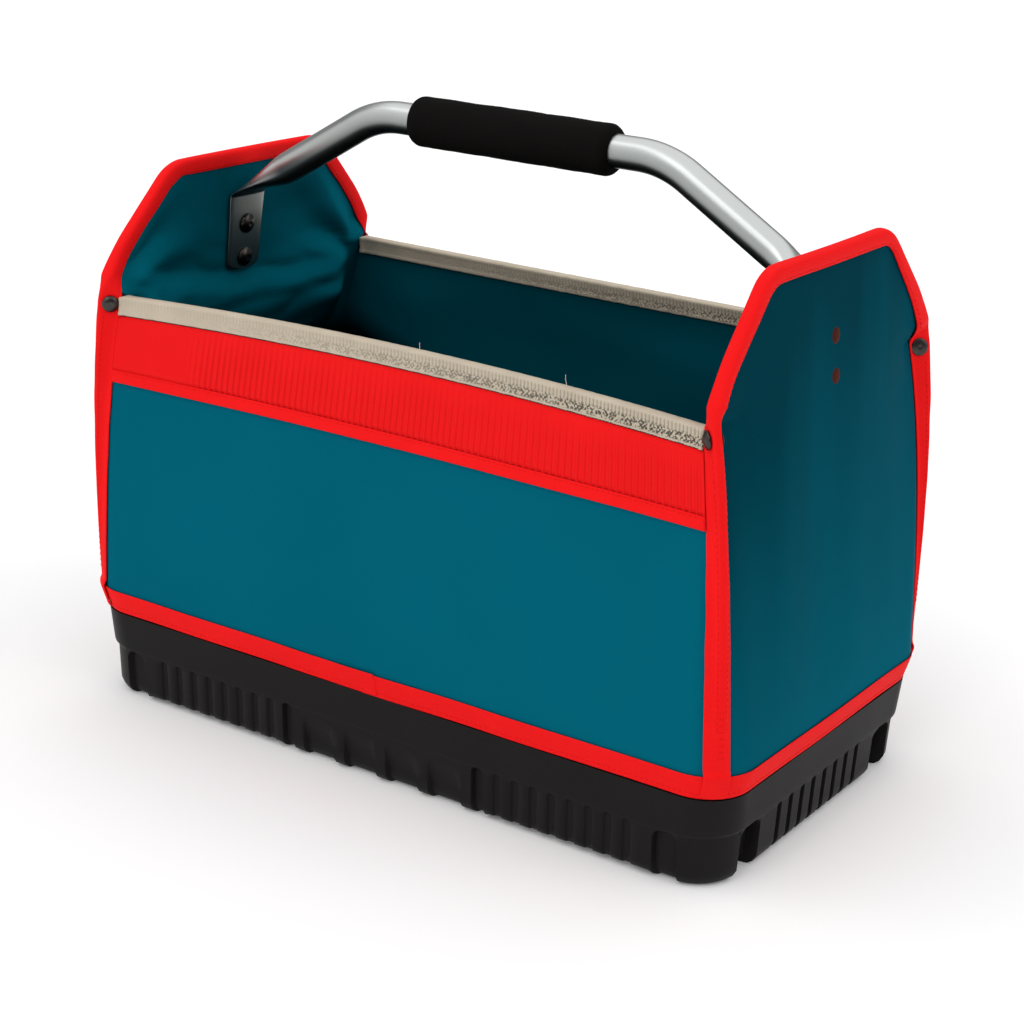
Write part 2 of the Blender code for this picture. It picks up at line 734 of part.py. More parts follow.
fold = Vector((face_x(FOLD_HEIGHT), FOLD_HEIGHT))
bend_x = fold.x - TUBE_RISE / math.tan(SLANT)
bend_reach = BEND_RADIUS * math.tan(SLANT / 2)
add_station(0, TUBE_HEIGHT, 0, TUBE_RADIUS, TUBE_RADIUS)
for k in range(4):
    turn = SLANT * k / 3
    add_station(bend_x - bend_reach + BEND_RADIUS * math.sin(turn), TUBE_HEIGHT - BEND_RADIUS * (1 - math.cos(turn)), turn,
                TUBE_RADIUS, TUBE_RADIUS)
slant = Vector((math.cos(SLANT), -math.sin(SLANT)))
tab = Vector((math.sin(tab_lean), -math.cos(tab_lean)))
fold_reach = FOLD_RADIUS * math.tan((tab_turn - SLANT) / 2)
for k in range(6):
    share = k / 5
    eased = share * share * (3 - 2 * share)
    spot = fold - slant * mix(FLATTEN_LENGTH, fold_reach, share)
    add_station(spot.x, spot.y, SLANT, mix(TUBE_RADIUS, FOLD_HALF_WIDTH, eased), mix(TUBE_RADIUS, FLAT_HALF_THICK, eased))
for k in range(1, 4):
    turn = mix(SLANT, tab_turn, k / 3)
    start = fold - slant * fold_reach
    arc = Vector((math.sin(turn) - math.sin(SLANT), math.cos(turn) - math.cos(SLANT))) * FOLD_RADIUS
    add_station(start.x + arc.x, start.y + arc.y, turn, FOLD_HALF_WIDTH, FLAT_HALF_THICK)
for share, wide in ((0.3, mix(FOLD_HALF_WIDTH, TAB_HALF_WIDTH, 0.4)), (0.62, TAB_HALF_WIDTH), (0.90, TAB_HALF_WIDTH),
                    (0.96, TAB_HALF_WIDTH * 0.9), (1.0, TAB_HALF_WIDTH * 0.62)):
    spot = fold + tab * TAB_LENGTH * share
    add_station(spot.x, spot.y, tab_turn, wide, FLAT_HALF_THICK)


def tube_ring(station, inward):
    x, z, turn, wide, thick = station
    flatness = (TUBE_RADIUS - thick) / (TUBE_RADIUS - FLAT_HALF_THICK)
    power = mix(1, 0.5, flatness)
    thick = thick - inward if inward == 0 else mix(thick - TUBE_WALL, FLAT_GAP, flatness)
    wide = wide - inward
    normal = Vector((math.sin(turn), 0, math.cos(turn)))
    ring = []
    for k in range(TUBE_SIDES):
        angle = math.tau * k / TUBE_SIDES
        c, s = math.cos(angle), math.sin(angle)
        a = math.copysign(abs(c) ** power, c) * thick
        b = math.copysign(abs(s) ** (mix(1, 0.75, flatness)), s) * wide
        ring.append(Vector((x, b, z)) + normal * a)
    return ring


def mirrored_rings(inward):
    right = [tube_ring(s, inward) for s in stations]
    left = [[Vector((-p.x, p.y, p.z)) for p in ring] for ring in right[:0:-1]]
    return left + right


outer_rings, inner_rings = mirrored_rings(0), mirrored_rings(TUBE_WALL)
tube = skin("handle_tube", outer_rings + inner_rings[::-1], "handle_alloy", looped=True)

grip_profile = []
for k in range(4):
    turn = math.pi / 2 * k / 3
    grip_profile.append((-GRIP_HALF + GRIP_ROUND * (1 - math.sin(turn)), GRIP_RADIUS - GRIP_ROUND * (1 - math.cos(turn))))
grip_profile = grip_profile[::-1]
rings = [(-GRIP_HALF, TUBE_RADIUS + GAP)] + sorted(grip_profile)
rings += [(-a, b) for a, b in rings[::-1]]
grip_rings = []
for reach, radius in rings:
    ring = []
    for k in range(24):
        turn = math.tau * k / 24
        ring.append(Vector((reach - GRIP_SHIFT, radius * math.sin(turn), TUBE_HEIGHT + radius * math.cos(turn))))
    grip_rings.append(ring)
skin("handle_grip", grip_rings, "grip_foam", looped=True)

# Handle rivets through the tab and the end wall
for x_sign, side_name in ((1, "right"), (-1, "left")):
    axis = Vector((x_sign * math.cos(tab_lean), 0, math.sin(tab_lean)))
    side = Vector((0, 1, 0))
    for level, drop in RIVET_DROPS.items():
        z = FOLD_HEIGHT - drop
        origin = Vector((x_sign * end_middle(z), 0, z))
        reach = 4 * WALL
        for target in end_layers[x_sign] + [tube]:
            hole = turned("hole", origin, axis, side, ((-reach, RIVET_SHAFT + GAP), (reach, RIVET_SHAFT + GAP)), None, 10)
            cut(target, hole)
        outer_seat = GAP
        inner_seat = -WALL - 2 * GAP - 2 * FLAT_HALF_THICK
        head = [(inner_seat - a, b) for a, b in dome(RIVET_INNER_RISE, RIVET_INNER)]
        cap = [(outer_seat, RIVET_SHAFT), (outer_seat, RIVET_OUTER), (outer_seat + RIVET_OUTER_RISE * 0.6, RIVET_OUTER),
               (outer_seat + RIVET_OUTER_RISE, RIVET_OUTER * 0.8)]
        turned(side_name + "_" + level + "_handle_rivet", origin, axis, side,
               head + [(inner_seat, RIVET_SHAFT)] + cap, "dark_rivet", 14)
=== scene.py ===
# %% [markdown]
# # A rigid tool bag, dressed for its picture
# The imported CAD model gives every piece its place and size. This script loads it as a fixed
# frame and then dresses it: each cloth piece is rebuilt as cloth, with its seams, stitches and
# soft waves, and each hard piece gets rounder edges and its own finish. All lengths are metres.

# %% Load the frame
import math

import bmesh
import bpy
import numpy as np
from mathutils import Matrix, Vector, noise


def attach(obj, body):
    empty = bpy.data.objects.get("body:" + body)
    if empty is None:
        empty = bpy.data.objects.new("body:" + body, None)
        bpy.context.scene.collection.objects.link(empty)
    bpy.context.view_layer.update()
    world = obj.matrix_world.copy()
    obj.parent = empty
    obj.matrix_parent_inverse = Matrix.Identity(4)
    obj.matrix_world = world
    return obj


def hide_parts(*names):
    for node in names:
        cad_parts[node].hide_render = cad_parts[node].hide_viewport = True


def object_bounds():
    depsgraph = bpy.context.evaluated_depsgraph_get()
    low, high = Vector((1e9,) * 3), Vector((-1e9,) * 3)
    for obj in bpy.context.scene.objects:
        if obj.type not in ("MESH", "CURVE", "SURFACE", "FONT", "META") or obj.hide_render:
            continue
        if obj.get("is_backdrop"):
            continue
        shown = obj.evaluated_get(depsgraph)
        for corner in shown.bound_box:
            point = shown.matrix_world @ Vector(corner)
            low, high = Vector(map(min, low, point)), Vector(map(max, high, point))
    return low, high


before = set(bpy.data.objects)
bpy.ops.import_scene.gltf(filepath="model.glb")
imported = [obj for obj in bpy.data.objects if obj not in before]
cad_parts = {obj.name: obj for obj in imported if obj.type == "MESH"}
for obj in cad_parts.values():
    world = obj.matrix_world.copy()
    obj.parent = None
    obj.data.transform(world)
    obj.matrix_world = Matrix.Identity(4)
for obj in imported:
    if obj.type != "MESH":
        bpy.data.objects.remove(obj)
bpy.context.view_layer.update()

# %% [markdown]
# ## Camera
# The picture was taken from the front right, above the rim, with a long lens from about a
# metre and a half away. The numbers below come from matching the corners of the bag, so the
# frame needs no shift. The camera is tilted by two degrees, as it was held.

# %% Place the camera
VIEW_FROM = Vector((0.77458, -1.15086, 0.63527))
YAW, PITCH, ROLL = (math.radians(a) for a in (33.681, 19.285, 2.255))
LENS, SENSOR = 77.72, 36.0


def camera_axes():
    back = Vector((math.sin(YAW) * math.cos(PITCH), -math.cos(YAW) * math.cos(PITCH), math.sin(PITCH)))
    level = (-back).cross(Vector((0, 0, 1))).normalized()
    upright = level.cross(-back)
    right = level * math.cos(ROLL) + upright * math.sin(ROLL)
    up = upright * math.cos(ROLL) - level * math.sin(ROLL)
    return right, up, back


camera_data = bpy.data.cameras.new("photo_camera")
camera_data.lens = LENS
camera_data.sensor_width = SENSOR
camera = bpy.data.objects.new("photo_camera", camera_data)
bpy.context.scene.collection.objects.link(camera)
camera.matrix_world = Matrix.Translation(VIEW_FROM) @ Matrix(camera_axes()).transposed().to_4x4()
bpy.context.scene.camera = camera
print("camera stands", round(VIEW_FROM.length, 2), "m from the bag")

# %% [markdown]
# ## Shader maths
# A finish is a small program. Here one class wraps a socket, so that sums and products of
# values read as Python and add their own Math nodes. A second class holds one material: its
# `node` method makes any other node, with the settings set before the sockets.

# %% Wrap a socket
TURN = 2 * math.pi


class Value:
    """A number that varies over a surface, with Python's own signs for its maths."""

    def __init__(self, tree, socket):
        self.tree, self.socket = tree, socket

    def maths(self, operation, *terms):
        node = self.tree.nodes.new("ShaderNodeMath")
        node.operation = operation
        for place, term in zip(node.inputs, terms):
            if isinstance(term, Value):
                self.tree.links.new(term.socket, place)
            else:
                place.default_value = term
        return Value(self.tree, node.outputs[0])

    def __add__(self, other):
        return self.maths("ADD", self, other)

    def __sub__(self, other):
        return self.maths("SUBTRACT", self, other)

    def __mul__(self, other):
        return self.maths("MULTIPLY", self, other)

    def __rsub__(self, other):
        return self.maths("SUBTRACT", other, self)

    __radd__, __rmul__ = __add__, __mul__

    def wavy(self, pitch):
        """A smooth wave from zero to one, once per pitch."""
        turned = self * (TURN / pitch)
        return turned.maths("SINE", turned) * 0.5 + 0.5

    def held(self):
        """The value, held between zero and one."""
        raised = self.maths("MAXIMUM", self, 0.0)
        return raised.maths("MINIMUM", raised, 1.0)


print("made the class", Value.__name__)

# %% Make a finish from a Principled shader


class Finish:
    """One material: its Principled shader, and a method for every other node."""

    def __init__(self, name, slot):
        self.material = bpy.data.materials.new(name)
        self.material.use_nodes = True
        self.slot, self.tree = slot, self.material.node_tree
        self.shader = self.tree.nodes["Principled BSDF"]

    def connect(self, place, value):
        if isinstance(value, Value):
            self.tree.links.new(value.socket, place)
        else:
            place.default_value = value

    def node(self, kind, settings=None, sockets=None, output=0):
        node = self.tree.nodes.new("ShaderNode" + kind)
        for key, value in (settings or {}).items():
            setattr(node, key, value)
        for key, value in (sockets or {}).items():
            self.connect(node.inputs[key], value)
        return Value(self.tree, node.outputs[output])

    def axis(self, letter, of="Object"):
        """One coordinate of the place on the piece, or of its normal."""
        return self.node("SeparateXYZ", None, {"Vector": self.node("TexCoord", output=of)}, letter)

    def cloud(self, size, detail=2.0, stretch=(1, 1, 1)):
        """Soft noise whose spots have about the given size."""
        scaled = {"Vector": self.node("TexCoord", output="Object"), "Scale": [s / size for s in stretch]}
        scaled = self.node("Mapping", None, scaled)
        return self.node("TexNoise", None, {"Vector": scaled, "Scale": 1.0, "Detail": detail})

    def blend(self, share, first, second):
        """From the first colour to the second as the share goes from zero to one."""
        sockets = {0: share, 6: first, 7: second}
        for key in (6, 7):
            if not isinstance(sockets[key], Value):
                sockets[key] = (*sockets[key], 1)
        return self.node("Mix", {"data_type": "RGBA"}, sockets, 2)

    def bump(self, height, depth, strength):
        return self.node("Bump", None, {"Height": height, "Distance": depth, "Strength": strength})

    def surface(self, **values):
        for key, value in values.items():
            self.connect(self.shader.inputs[key.replace("_", " ")], value)
        return self


print("made the class", Finish.__name__)

# %% [markdown]
# ## Sizes
# These repeat the CAD model: the layers of a wall from the outside in, the rounded plan at the
# foot and at the rim, how the walls lean, swell and bow, and the free edge of an end wall, with
# an ear just above the rim, a shoulder and a flat top. GAP is left between hard layers and
# SOFT_GAP under a tape.

# %% Name the sizes
GAP, SOFT_GAP = 0.0003, 0.0006
SHELL, BOARD, LINING, TAPE = 0.0010, 0.0018, 0.0008, 0.0009
WALL = SHELL + BOARD + LINING + 2 * GAP
BASE_HALF_LENGTH, BASE_HALF_WIDTH, BASE_CORNER = 0.2522, 0.1352, 0.032
BAND_LOW, BAND_TOP, RIM = 0.0613, 0.078, 0.283
FOOT_DRAW_IN, FOOT_CORNER_LOSS = 0.0048, 0.0035
RIM_HALF_LENGTH, RIM_HALF_WIDTH, RIM_CORNER = 0.2225, 0.1285, 0.0045
TAPE_LEG, KNIT = 0.0124, 0.0026
LEAN, EDGE_SWELL, RIM_BOW, RIM_ARCH = 0.0945, 0.0015, 0.012, 0.0032
APEX, APEX_HALF, APEX_PULL, APEX_ROUND = 0.3624, 0.077, 0.0012, 0.030
EAR_RISE, EAR_HALF, EAR_PULL = 0.012, 0.1347, 0.0035
EAR_LOW = RIM + EAR_RISE
SHOULDER_RISE, SHOULDER_DRAW_IN, SHOULDER_ROUND = 0.017, 0.0088, 0.110
print("a wall is", round(1000 * WALL, 1), "mm thick and its rim", round(1000 * RIM), "mm high")

# %% [markdown]
# ## Cloth finishes
# The walls are coated cloth: a fine weave under a satin skin, a little uneven in sheen. The end
# walls get painted shade, darker towards their top front, and the lining gets painted light where
# its folds face up, above painted deep shade. The bindings are bright woven tape with fine cross
# ribs, and painted shade darkens the sides of the ribs of the elastic bands. The rim tape is a
# beige knit with painted shade in its furrows, and dark specks of the backing show through its
# open loops, more so at the right.

# %% Mix the coated cloth
THREAD, GRAIN, SHEEN, MOTTLE, STREAK = 0.0011, 0.004, 0.075, 0.16, 0.045
SHADE_START, SHADE_SLOPE, SHADE_SPEED = 0.052, 0.9, 46


def tinted(colour, share):
    return [c * share for c in colour]


def outer_tone_with_end_shade(finish, mottle, deep, bright):
    """Painted shade: the end walls, found by the X of their normal, are darker towards their top front, in
    soft streaks.
    """
    y, z, facing = finish.axis("Y"), finish.axis("Z"), finish.axis("X", "Normal")
    streak = finish.cloud(STREAK, 1.0, (1, 1, 0.10))
    # Painted shade: the end walls get a darker copy of the cloth colour, strongest towards their top front.
    ends = (facing * facing * (z * 3.6 - y * 1.2 - 0.13) * (streak + 0.50)).held()
    darker = finish.blend(mottle, tinted(deep, 0.36), tinted(bright, 0.36))
    return finish.blend(ends, finish.blend(mottle, deep, bright), darker)


def inner_tone_with_painted_light(finish, mottle, deep, bright):
    """Painted light where folds face up, painted shade where they face down, and painted deep shade lower
    down, first at the ends.
    """
    x, z, lit_from_above = finish.axis("X"), finish.axis("Z"), finish.axis("Z", "Normal") * 2.4 + 0.80
    # Painted light: a lighter copy of the teal where the lining's normal faces up, a darker one where it
    # faces down.
    lit_crests = finish.blend(mottle, tinted(deep, 1.25), tinted(bright, 1.45))
    begin = RIM - SHADE_START - (RIM_HALF_LENGTH ** 2 - x * x) * SHADE_SLOPE
    tone = finish.blend(lit_from_above.held(), tinted(deep, 0.36), lit_crests)
    # Painted shade: below a line that starts higher at the ends, the lining turns nearly black.
    return finish.blend(((begin - z) * SHADE_SPEED).held(), tone, tinted(deep, 0.05))


def coated_cloth(name, slot, deep, bright, rough, toned):
    finish = Finish(name, slot)
    weave = (finish.axis("X") + finish.axis("Y")).wavy(THREAD) * finish.axis("Z").wavy(THREAD)
    skin = weave * 0.25 + finish.cloud(GRAIN) * 0.75
    return finish.surface(Base_Color=toned(finish, finish.cloud(MOTTLE, 3.0), deep, bright),
                          Roughness=finish.cloud(SHEEN) * 0.14 + rough,
                          Normal=finish.bump(skin, 0.00014, 0.40), Specular_IOR_Level=0.002)


teal_cloth = coated_cloth("teal_cloth", "teal_fabric", (0.0008, 0.101, 0.151), (0.0010, 0.125, 0.183),
                          0.36, outer_tone_with_end_shade)
teal_inside = coated_cloth("teal_inside", "teal_lining", (0.0004, 0.078, 0.112), (0.0006, 0.100, 0.140),
                           0.38, inner_tone_with_painted_light)
print("made the finishes", teal_cloth.material.name, "and", teal_inside.material.name)

# %% Mix the red tapes and the threads
TAPE_WEAR, FIBRE = 0.03, 0.0016


def woven_tape(name, slot, deep, bright, rib=0.0016, flank_shade=0.0):
    """Cross ribs and fluff. Where it is asked for, painted shade darkens the sides of big ribs."""
    finish = Finish(name, slot)
    z, along = finish.axis("Z"), finish.axis("X") + finish.axis("Y")
    ribs, wear = (z + along * 0.35).wavy(rib), finish.cloud(TAPE_WEAR, 3.0)
    height = ribs * 0.45 + finish.cloud(FIBRE) * 0.55
    tone = finish.blend(wear, deep, bright)
    if flank_shade:
        # Painted shade: the sides of the big ribs, found by the X of the normal, get a darker copy of the
        # red.
        facing = finish.axis("X", "Normal")
        tone = finish.blend((facing * facing * flank_shade).held() * 0.5, tone, tinted(deep, 0.40))
    return finish.surface(Base_Color=tone, Roughness=wear * 0.12 + 0.56, Specular_IOR_Level=0.05,
                          Normal=finish.bump(height, 0.00024, 0.5))


red_tape = woven_tape("red_tape", "red_tape", (0.82, 0.007, 0.008), (0.92, 0.010, 0.011))
# For red_rib the last number sets the strength of the painted shade on the sides of the ribs.
red_rib = woven_tape("red_rib", "red_ribbed", (0.80, 0.007, 0.008), (0.90, 0.010, 0.011), 0.0012, 3.2)
red_thread = woven_tape("red_thread", "red_tape", (0.70, 0.007, 0.007), (0.84, 0.010, 0.010), 0.0006)
pale_thread = woven_tape("pale_thread", "beige_tape", (0.60, 0.57, 0.52), (0.75, 0.73, 0.70), 0.0006)
print("made the finishes", [made.material.name for made in (red_tape, red_rib, red_thread, pale_thread)])

# %% Mix the knit of the rim tape
SPECK, OPEN_LOOP, DARK_BACKING = 0.0017, 0.38, (0.060, 0.052, 0.040)
WORN_FROM, SPECK_TOP, SPECK_LOW, FURROW_TOP, FURROW_LOW = -0.17, 0.0046, 0.0114, 0.0010, 0.0070


def knitted_tape(name):
    """Painted shade in the furrows between the upper loops, and specks of backing in the lower rows at the
    right.
    """
    finish = Finish(name, "beige_tape")
    x, z = finish.axis("X"), finish.axis("Z")
    drop = (x * x) * (-RIM_ARCH / RIM_HALF_LENGTH ** 2) - z + (RIM + RIM_ARCH)
    rightward = ((x - WORN_FROM) * 3.2).held()
    low_row = ((drop - SPECK_TOP) * 450).held() * ((SPECK_LOW - drop) * 900).held()
    # Painted shade: the furrows between the loops are darkened, more so at the right.
    furrow_shade = 1 - x.wavy(KNIT)
    furrow_shade = furrow_shade * furrow_shade * furrow_shade
    furrow_shade = furrow_shade * ((FURROW_LOW - drop) * 500).held() * ((drop - FURROW_TOP) * 900).held()
    loops = (x + drop * 0.9).wavy(KNIT) * (x - drop * 0.9).wavy(KNIT)
    speck = finish.cloud(SPECK, 3.0)
    holes = ((0.53 - speck) * 10.0 + (OPEN_LOOP - loops) * 1.6).held() * low_row * rightward * 0.92
    # worn mixes the real specks of backing with the painted shade in the furrows.
    worn = (holes + furrow_shade * (rightward * 0.34 + 0.10)).held()
    pale = finish.blend(finish.cloud(0.02, 3.0), (0.46, 0.395, 0.305), (0.60, 0.525, 0.415))
    return finish.surface(Base_Color=finish.blend(worn, pale, DARK_BACKING),
                          Roughness=speck * 0.1 + 0.8, Specular_IOR_Level=0.1,
                          Normal=finish.bump(loops * 0.5 + speck * 0.5, 0.0005, 0.6))


beige_knit = knitted_tape("beige_knit")
print("made the finish", beige_knit.material.name)

# %% [markdown]
# ## Hard finishes
# The tray is satin black moulding with a faint grain. The tube is satin alloy with painted light,
# brighter where it faces up and darker below, the grip a matt foam, and the rivets dark plated
# steel. The two caps on the outside of each end wall have gone a dull red brown.

# %% Mix the hard finishes
MOULD_CLOUD, METAL_STREAK, SCRATCH = 0.05, 0.004, 0.0009


def moulded(name, slot, deep, bright, rough, grain=0.0012, depth=0.00010, gloss=0.35):
    finish = Finish(name, slot)
    cloud = finish.cloud(MOULD_CLOUD, 3.0)
    return finish.surface(Base_Color=finish.blend(cloud, deep, bright), Roughness=cloud * 0.12 + rough,
                          Normal=finish.bump(finish.cloud(grain), depth, 0.5), Specular_IOR_Level=gloss)


def metal(name, slot, deep, bright, rough):
    finish = Finish(name, slot)
    streak = finish.cloud(METAL_STREAK, 3.0)
    return finish.surface(Base_Color=finish.blend(streak, deep, bright), Roughness=streak * 0.14 + rough,
                          Metallic=1.0, Normal=finish.bump(streak, 0.00005, 0.3))


def drawn_alloy(name, slot):
    """Satin tube with painted light: brighter where it faces up, darker below, with faint scratches along its
    length.
    """
    finish = Finish(name, slot)
    # Painted light: the tube's colour goes from a dark copy below to a light copy where its normal faces up.
    lit_from_above = (finish.axis("Z", "Normal") * 0.80 + 0.46).held()
    streak, cloud = finish.cloud(SCRATCH, 2.0, (0.03, 1, 1)), finish.cloud(0.03, 2.0)
    tone = (lit_from_above * 0.88 + cloud * 0.08 + streak * 0.04).held()
    return finish.surface(Base_Color=finish.blend(tone, (0.112, 0.125, 0.123), (0.56, 0.58, 0.57)),
                          Metallic=1.0, Roughness=cloud * 0.08 + 0.28,
                          Normal=finish.bump(cloud, 0.00003, 0.2))


tray_black = moulded("tray_black", "tray_plastic", (0.0074, 0.0064, 0.0066), (0.0112, 0.0100, 0.0102),
                     0.40, gloss=0.09)
board_black = moulded("board_black", "base_board", (0.003, 0.003, 0.0035), (0.006, 0.006, 0.007), 0.7)
board_grey = moulded("board_grey", "stiffener", (0.035, 0.035, 0.035), (0.05, 0.05, 0.05), 0.7)
foam = moulded("foam", "grip_foam", (0.0030, 0.0026, 0.0024), (0.0055, 0.0048, 0.0046), 0.82,
               0.0018, 0.0004, 0.06)
alloy = drawn_alloy("alloy", "handle_alloy")
steel_wire = metal("steel_wire", "rim_wire", (0.4, 0.4, 0.4), (0.5, 0.5, 0.5), 0.35)
gunmetal = metal("gunmetal", "dark_rivet", (0.040, 0.036, 0.034), (0.075, 0.068, 0.064), 0.22)
rust_cap = moulded("rust_cap", "dark_rivet", (0.040, 0.007, 0.004), (0.100, 0.020, 0.012), 0.5, gloss=0.03)
print("made the hard finishes, from", tray_black.material.name, "to", rust_cap.material.name)

# %% [markdown]
# ## The shape of the bag
# Every cloth piece hangs on the same form, so its rules are written once, as functions of the
# height z and of the distance d below the outside of the teal cloth. They repeat the sizes of
# the CAD model. The walls lean in, bow inwards along the rim, and turn round softer corners
# near the foot than near the rim, where each end wall flares into its own free edge.

# %% Write the form as functions of height


def mix(a, b, share):
    return a + (b - a) * share


def ease(t):
    """From zero to one, with a soft start and end."""
    t = np.clip(t, 0, 1)
    return t * t * (3 - 2 * t)


def climb(z):
    """Zero at the foot of the walls, one at the rim."""
    return np.clip((z - BAND_TOP) / (RIM - BAND_TOP), 0, 1)


def foot(z):
    return np.clip((BAND_TOP - z) / (BAND_TOP - BAND_LOW), 0, 1)


def flare(z):
    return np.clip((z - RIM) / EAR_RISE, 0, 1)


def end_middle(z):
    return BASE_HALF_LENGTH - LEAN * np.maximum(z - BAND_TOP, 0) - FOOT_DRAW_IN * foot(z)


def pull(z):
    """How far the sides of an end wall are drawn in from its middle."""
    below = (end_middle(RIM) - RIM_HALF_LENGTH) * climb(z) ** 3
    above = mix(EAR_PULL, APEX_PULL, np.clip((z - EAR_LOW) / (APEX - EAR_LOW), 0, 1))
    return mix(below, above, flare(z))


def half_length(z):
    return end_middle(z) - pull(z)


def half_width(z):
    t = climb(z)
    return mix(BASE_HALF_WIDTH, RIM_HALF_WIDTH, t) - FOOT_DRAW_IN * foot(z) + EDGE_SWELL * 4 * t * (1 - t)


def corner_round(z):
    return mix(BASE_CORNER, RIM_CORNER, climb(z)) - FOOT_CORNER_LOSS * foot(z)


def bow(z):
    return RIM_BOW * climb(z) ** 1.5


def rim_height(share):
    return RIM + RIM_ARCH * (1 - share * share)


print("rim plan, mm:", [round(2000 * float(half(RIM))) for half in (half_length, half_width)])

# %% [markdown]
# The free edge of an end wall is drawn once as a path: up from the rim, round a wide shoulder,
# then over a small bend to the flat top. Each point keeps its outward direction, which the edge
# tape needs later.

# %% Draw the edge of an end wall
SHOULDER_STEPS, SLOPE_STEPS, BEND_STEPS, MOST_REACH = 9, 8, 8, 0.95


def bend(corners, k, radius, steps):
    """A rounded corner of a path, as points with their outward directions."""
    spot = corners[k + 1]
    before, after = (corners[k] - spot).normalized(), (corners[k + 2] - spot).normalized()
    half = before.angle(after) / 2
    reach = min(radius / math.tan(half), (corners[k] - spot).length * MOST_REACH)
    size = reach * math.tan(half)
    middle = spot + (before + after).normalized() * (size / math.sin(half))
    ends = [spot + way * reach - middle for way in (before, after)]
    spokes = [ends[0].slerp(ends[1], s / steps).normalized() for s in range(steps + 1)]
    return [(middle + spoke * size, spoke) for spoke in spokes]


CORNERS = [Vector((EAR_HALF, EAR_LOW)), Vector((EAR_HALF - SHOULDER_DRAW_IN, EAR_LOW + SHOULDER_RISE)),
           Vector((APEX_HALF, APEX)), Vector((0, APEX))]
shoulder = bend(CORNERS, 0, SHOULDER_ROUND, SHOULDER_STEPS)
top_bend = bend(CORNERS, 1, APEX_ROUND, BEND_STEPS)
begin, way = shoulder[-1]
slope = [(begin.lerp(top_bend[0][0], s / SLOPE_STEPS), way) for s in range(1, SLOPE_STEPS)]
start = (CORNERS[0], Vector((SHOULDER_RISE, SHOULDER_DRAW_IN)).normalized())
EDGE = [start] + shoulder + slope + top_bend
EDGE_Y, EDGE_Z = np.array([p.x for p, _ in EDGE]), np.array([p.y for p, _ in EDGE])


def edge_half(z):
    low = mix(half_width(np.minimum(z, RIM)), EAR_HALF, flare(z))
    return np.where(z <= EAR_LOW, low, np.interp(z, EDGE_Z, EDGE_Y))


print("edge points:", len(EDGE), "top at", round(float(EDGE_Z[-1]), 4))

# %% Find a point on a wall or round a corner
LEAST_ROUND = 0.0015


def points(x, y, z):
    return np.stack(np.broadcast_arrays(x, y, z), -1).astype(float)


def front_at(x, z, d):
    share = np.minimum(np.abs(x) / (half_length(z) - corner_round(z)), 1)
    return points(x, -(half_width(z) - d - bow(z) * (1 - share * share)), z)


def end_at(y, z, d):
    share = np.minimum(np.abs(y) / (edge_half(z) - corner_round(z) * (1 - flare(z))), 1)
    return points(end_middle(z) - pull(z) * share * share - d, y, z)


def centre(z, d):
    """The centre and the radius of a plan corner, for a layer at the depth d."""
    inset = max(float(corner_round(z)), d + LEAST_ROUND)
    return float(half_length(z)) - inset, float(half_width(z)) - inset, inset - d


def corner_at(u, z, d):
    """A point at the distance u round the front right corner, below zero on the front wall."""
    cx, cy, r = centre(z, d)
    arc = r * math.pi / 4
    if abs(u) <= arc:
        turn = math.pi / 4 - u / r
        return np.array((cx + r * math.cos(turn), -(cy + r * math.sin(turn)), z))
    past = abs(u) - arc
    return front_at(cx - past, z, d) if u < 0 else end_at(-(cy - past), z, d)


print("front right rim corner, mm:", [round(1000 * float(p), 1) for p in corner_at(0, RIM, 0)])

# %% [markdown]
# ## Turn grids into pieces
# Cloth is laid out as rows of points. A sheet is one layer with the Solidify modifier for its
# thickness, and a tape is a closed ring of points carried along a path. Each helper also sets
# smooth shading, the material and the body that the piece rides on.

# %% Make a piece from points and faces
MERGE = 0.00002


def mesh_piece(name, corners, faces, finish, *replaced, sharp=180):
    mesh = bpy.data.meshes.new(name)
    mesh.from_pydata([tuple(p) for p in corners], [], faces)
    bm = bmesh.new()
    bm.from_mesh(mesh)
    bmesh.ops.remove_doubles(bm, verts=bm.verts, dist=MERGE)
    bmesh.ops.recalc_face_normals(bm, faces=bm.faces)
    bm.to_mesh(mesh)
    bm.free()
    mesh.shade_smooth()
    if sharp < 180:
        mesh.set_sharp_from_angle(angle=math.radians(sharp))
    obj = bpy.data.objects.new(name, mesh)
    bpy.context.scene.collection.objects.link(obj)
    mesh.materials.append(finish.material)
    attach(obj, "root")
    if replaced:
        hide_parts(*replaced)
    print(name, len(mesh.vertices), "points")
    return obj


print("made the helper", mesh_piece.__name__)

# %% Make sheets and rings
INSIDE_BAG = Vector((0, 0, 0.2))


def grid_faces(rows, cols, start=0, round_it=False):
    faces = []
    for i in range(rows - 1):
        for j in range(cols if round_it else cols - 1):
            a, b = start + i * cols + j, start + i * cols + (j + 1) % cols
            faces.append((a, b, b + cols, a + cols))
    return faces


def sheet_piece(name, grids, thick, finish, *replaced):
    corners, faces = [], []
    for grid in grids:
        faces += grid_faces(len(grid), len(grid[0]), len(corners))
        corners += [p for row in grid for p in row]
    obj = mesh_piece(name, corners, faces, finish, *replaced)
    outward = sum((p.center - INSIDE_BAG).dot(p.normal) * p.area for p in obj.data.polygons)
    if outward < 0:
        obj.data.flip_normals()
    layer = obj.modifiers.new("thickness", "SOLIDIFY")
    layer.thickness, layer.offset = thick, -1
    return obj


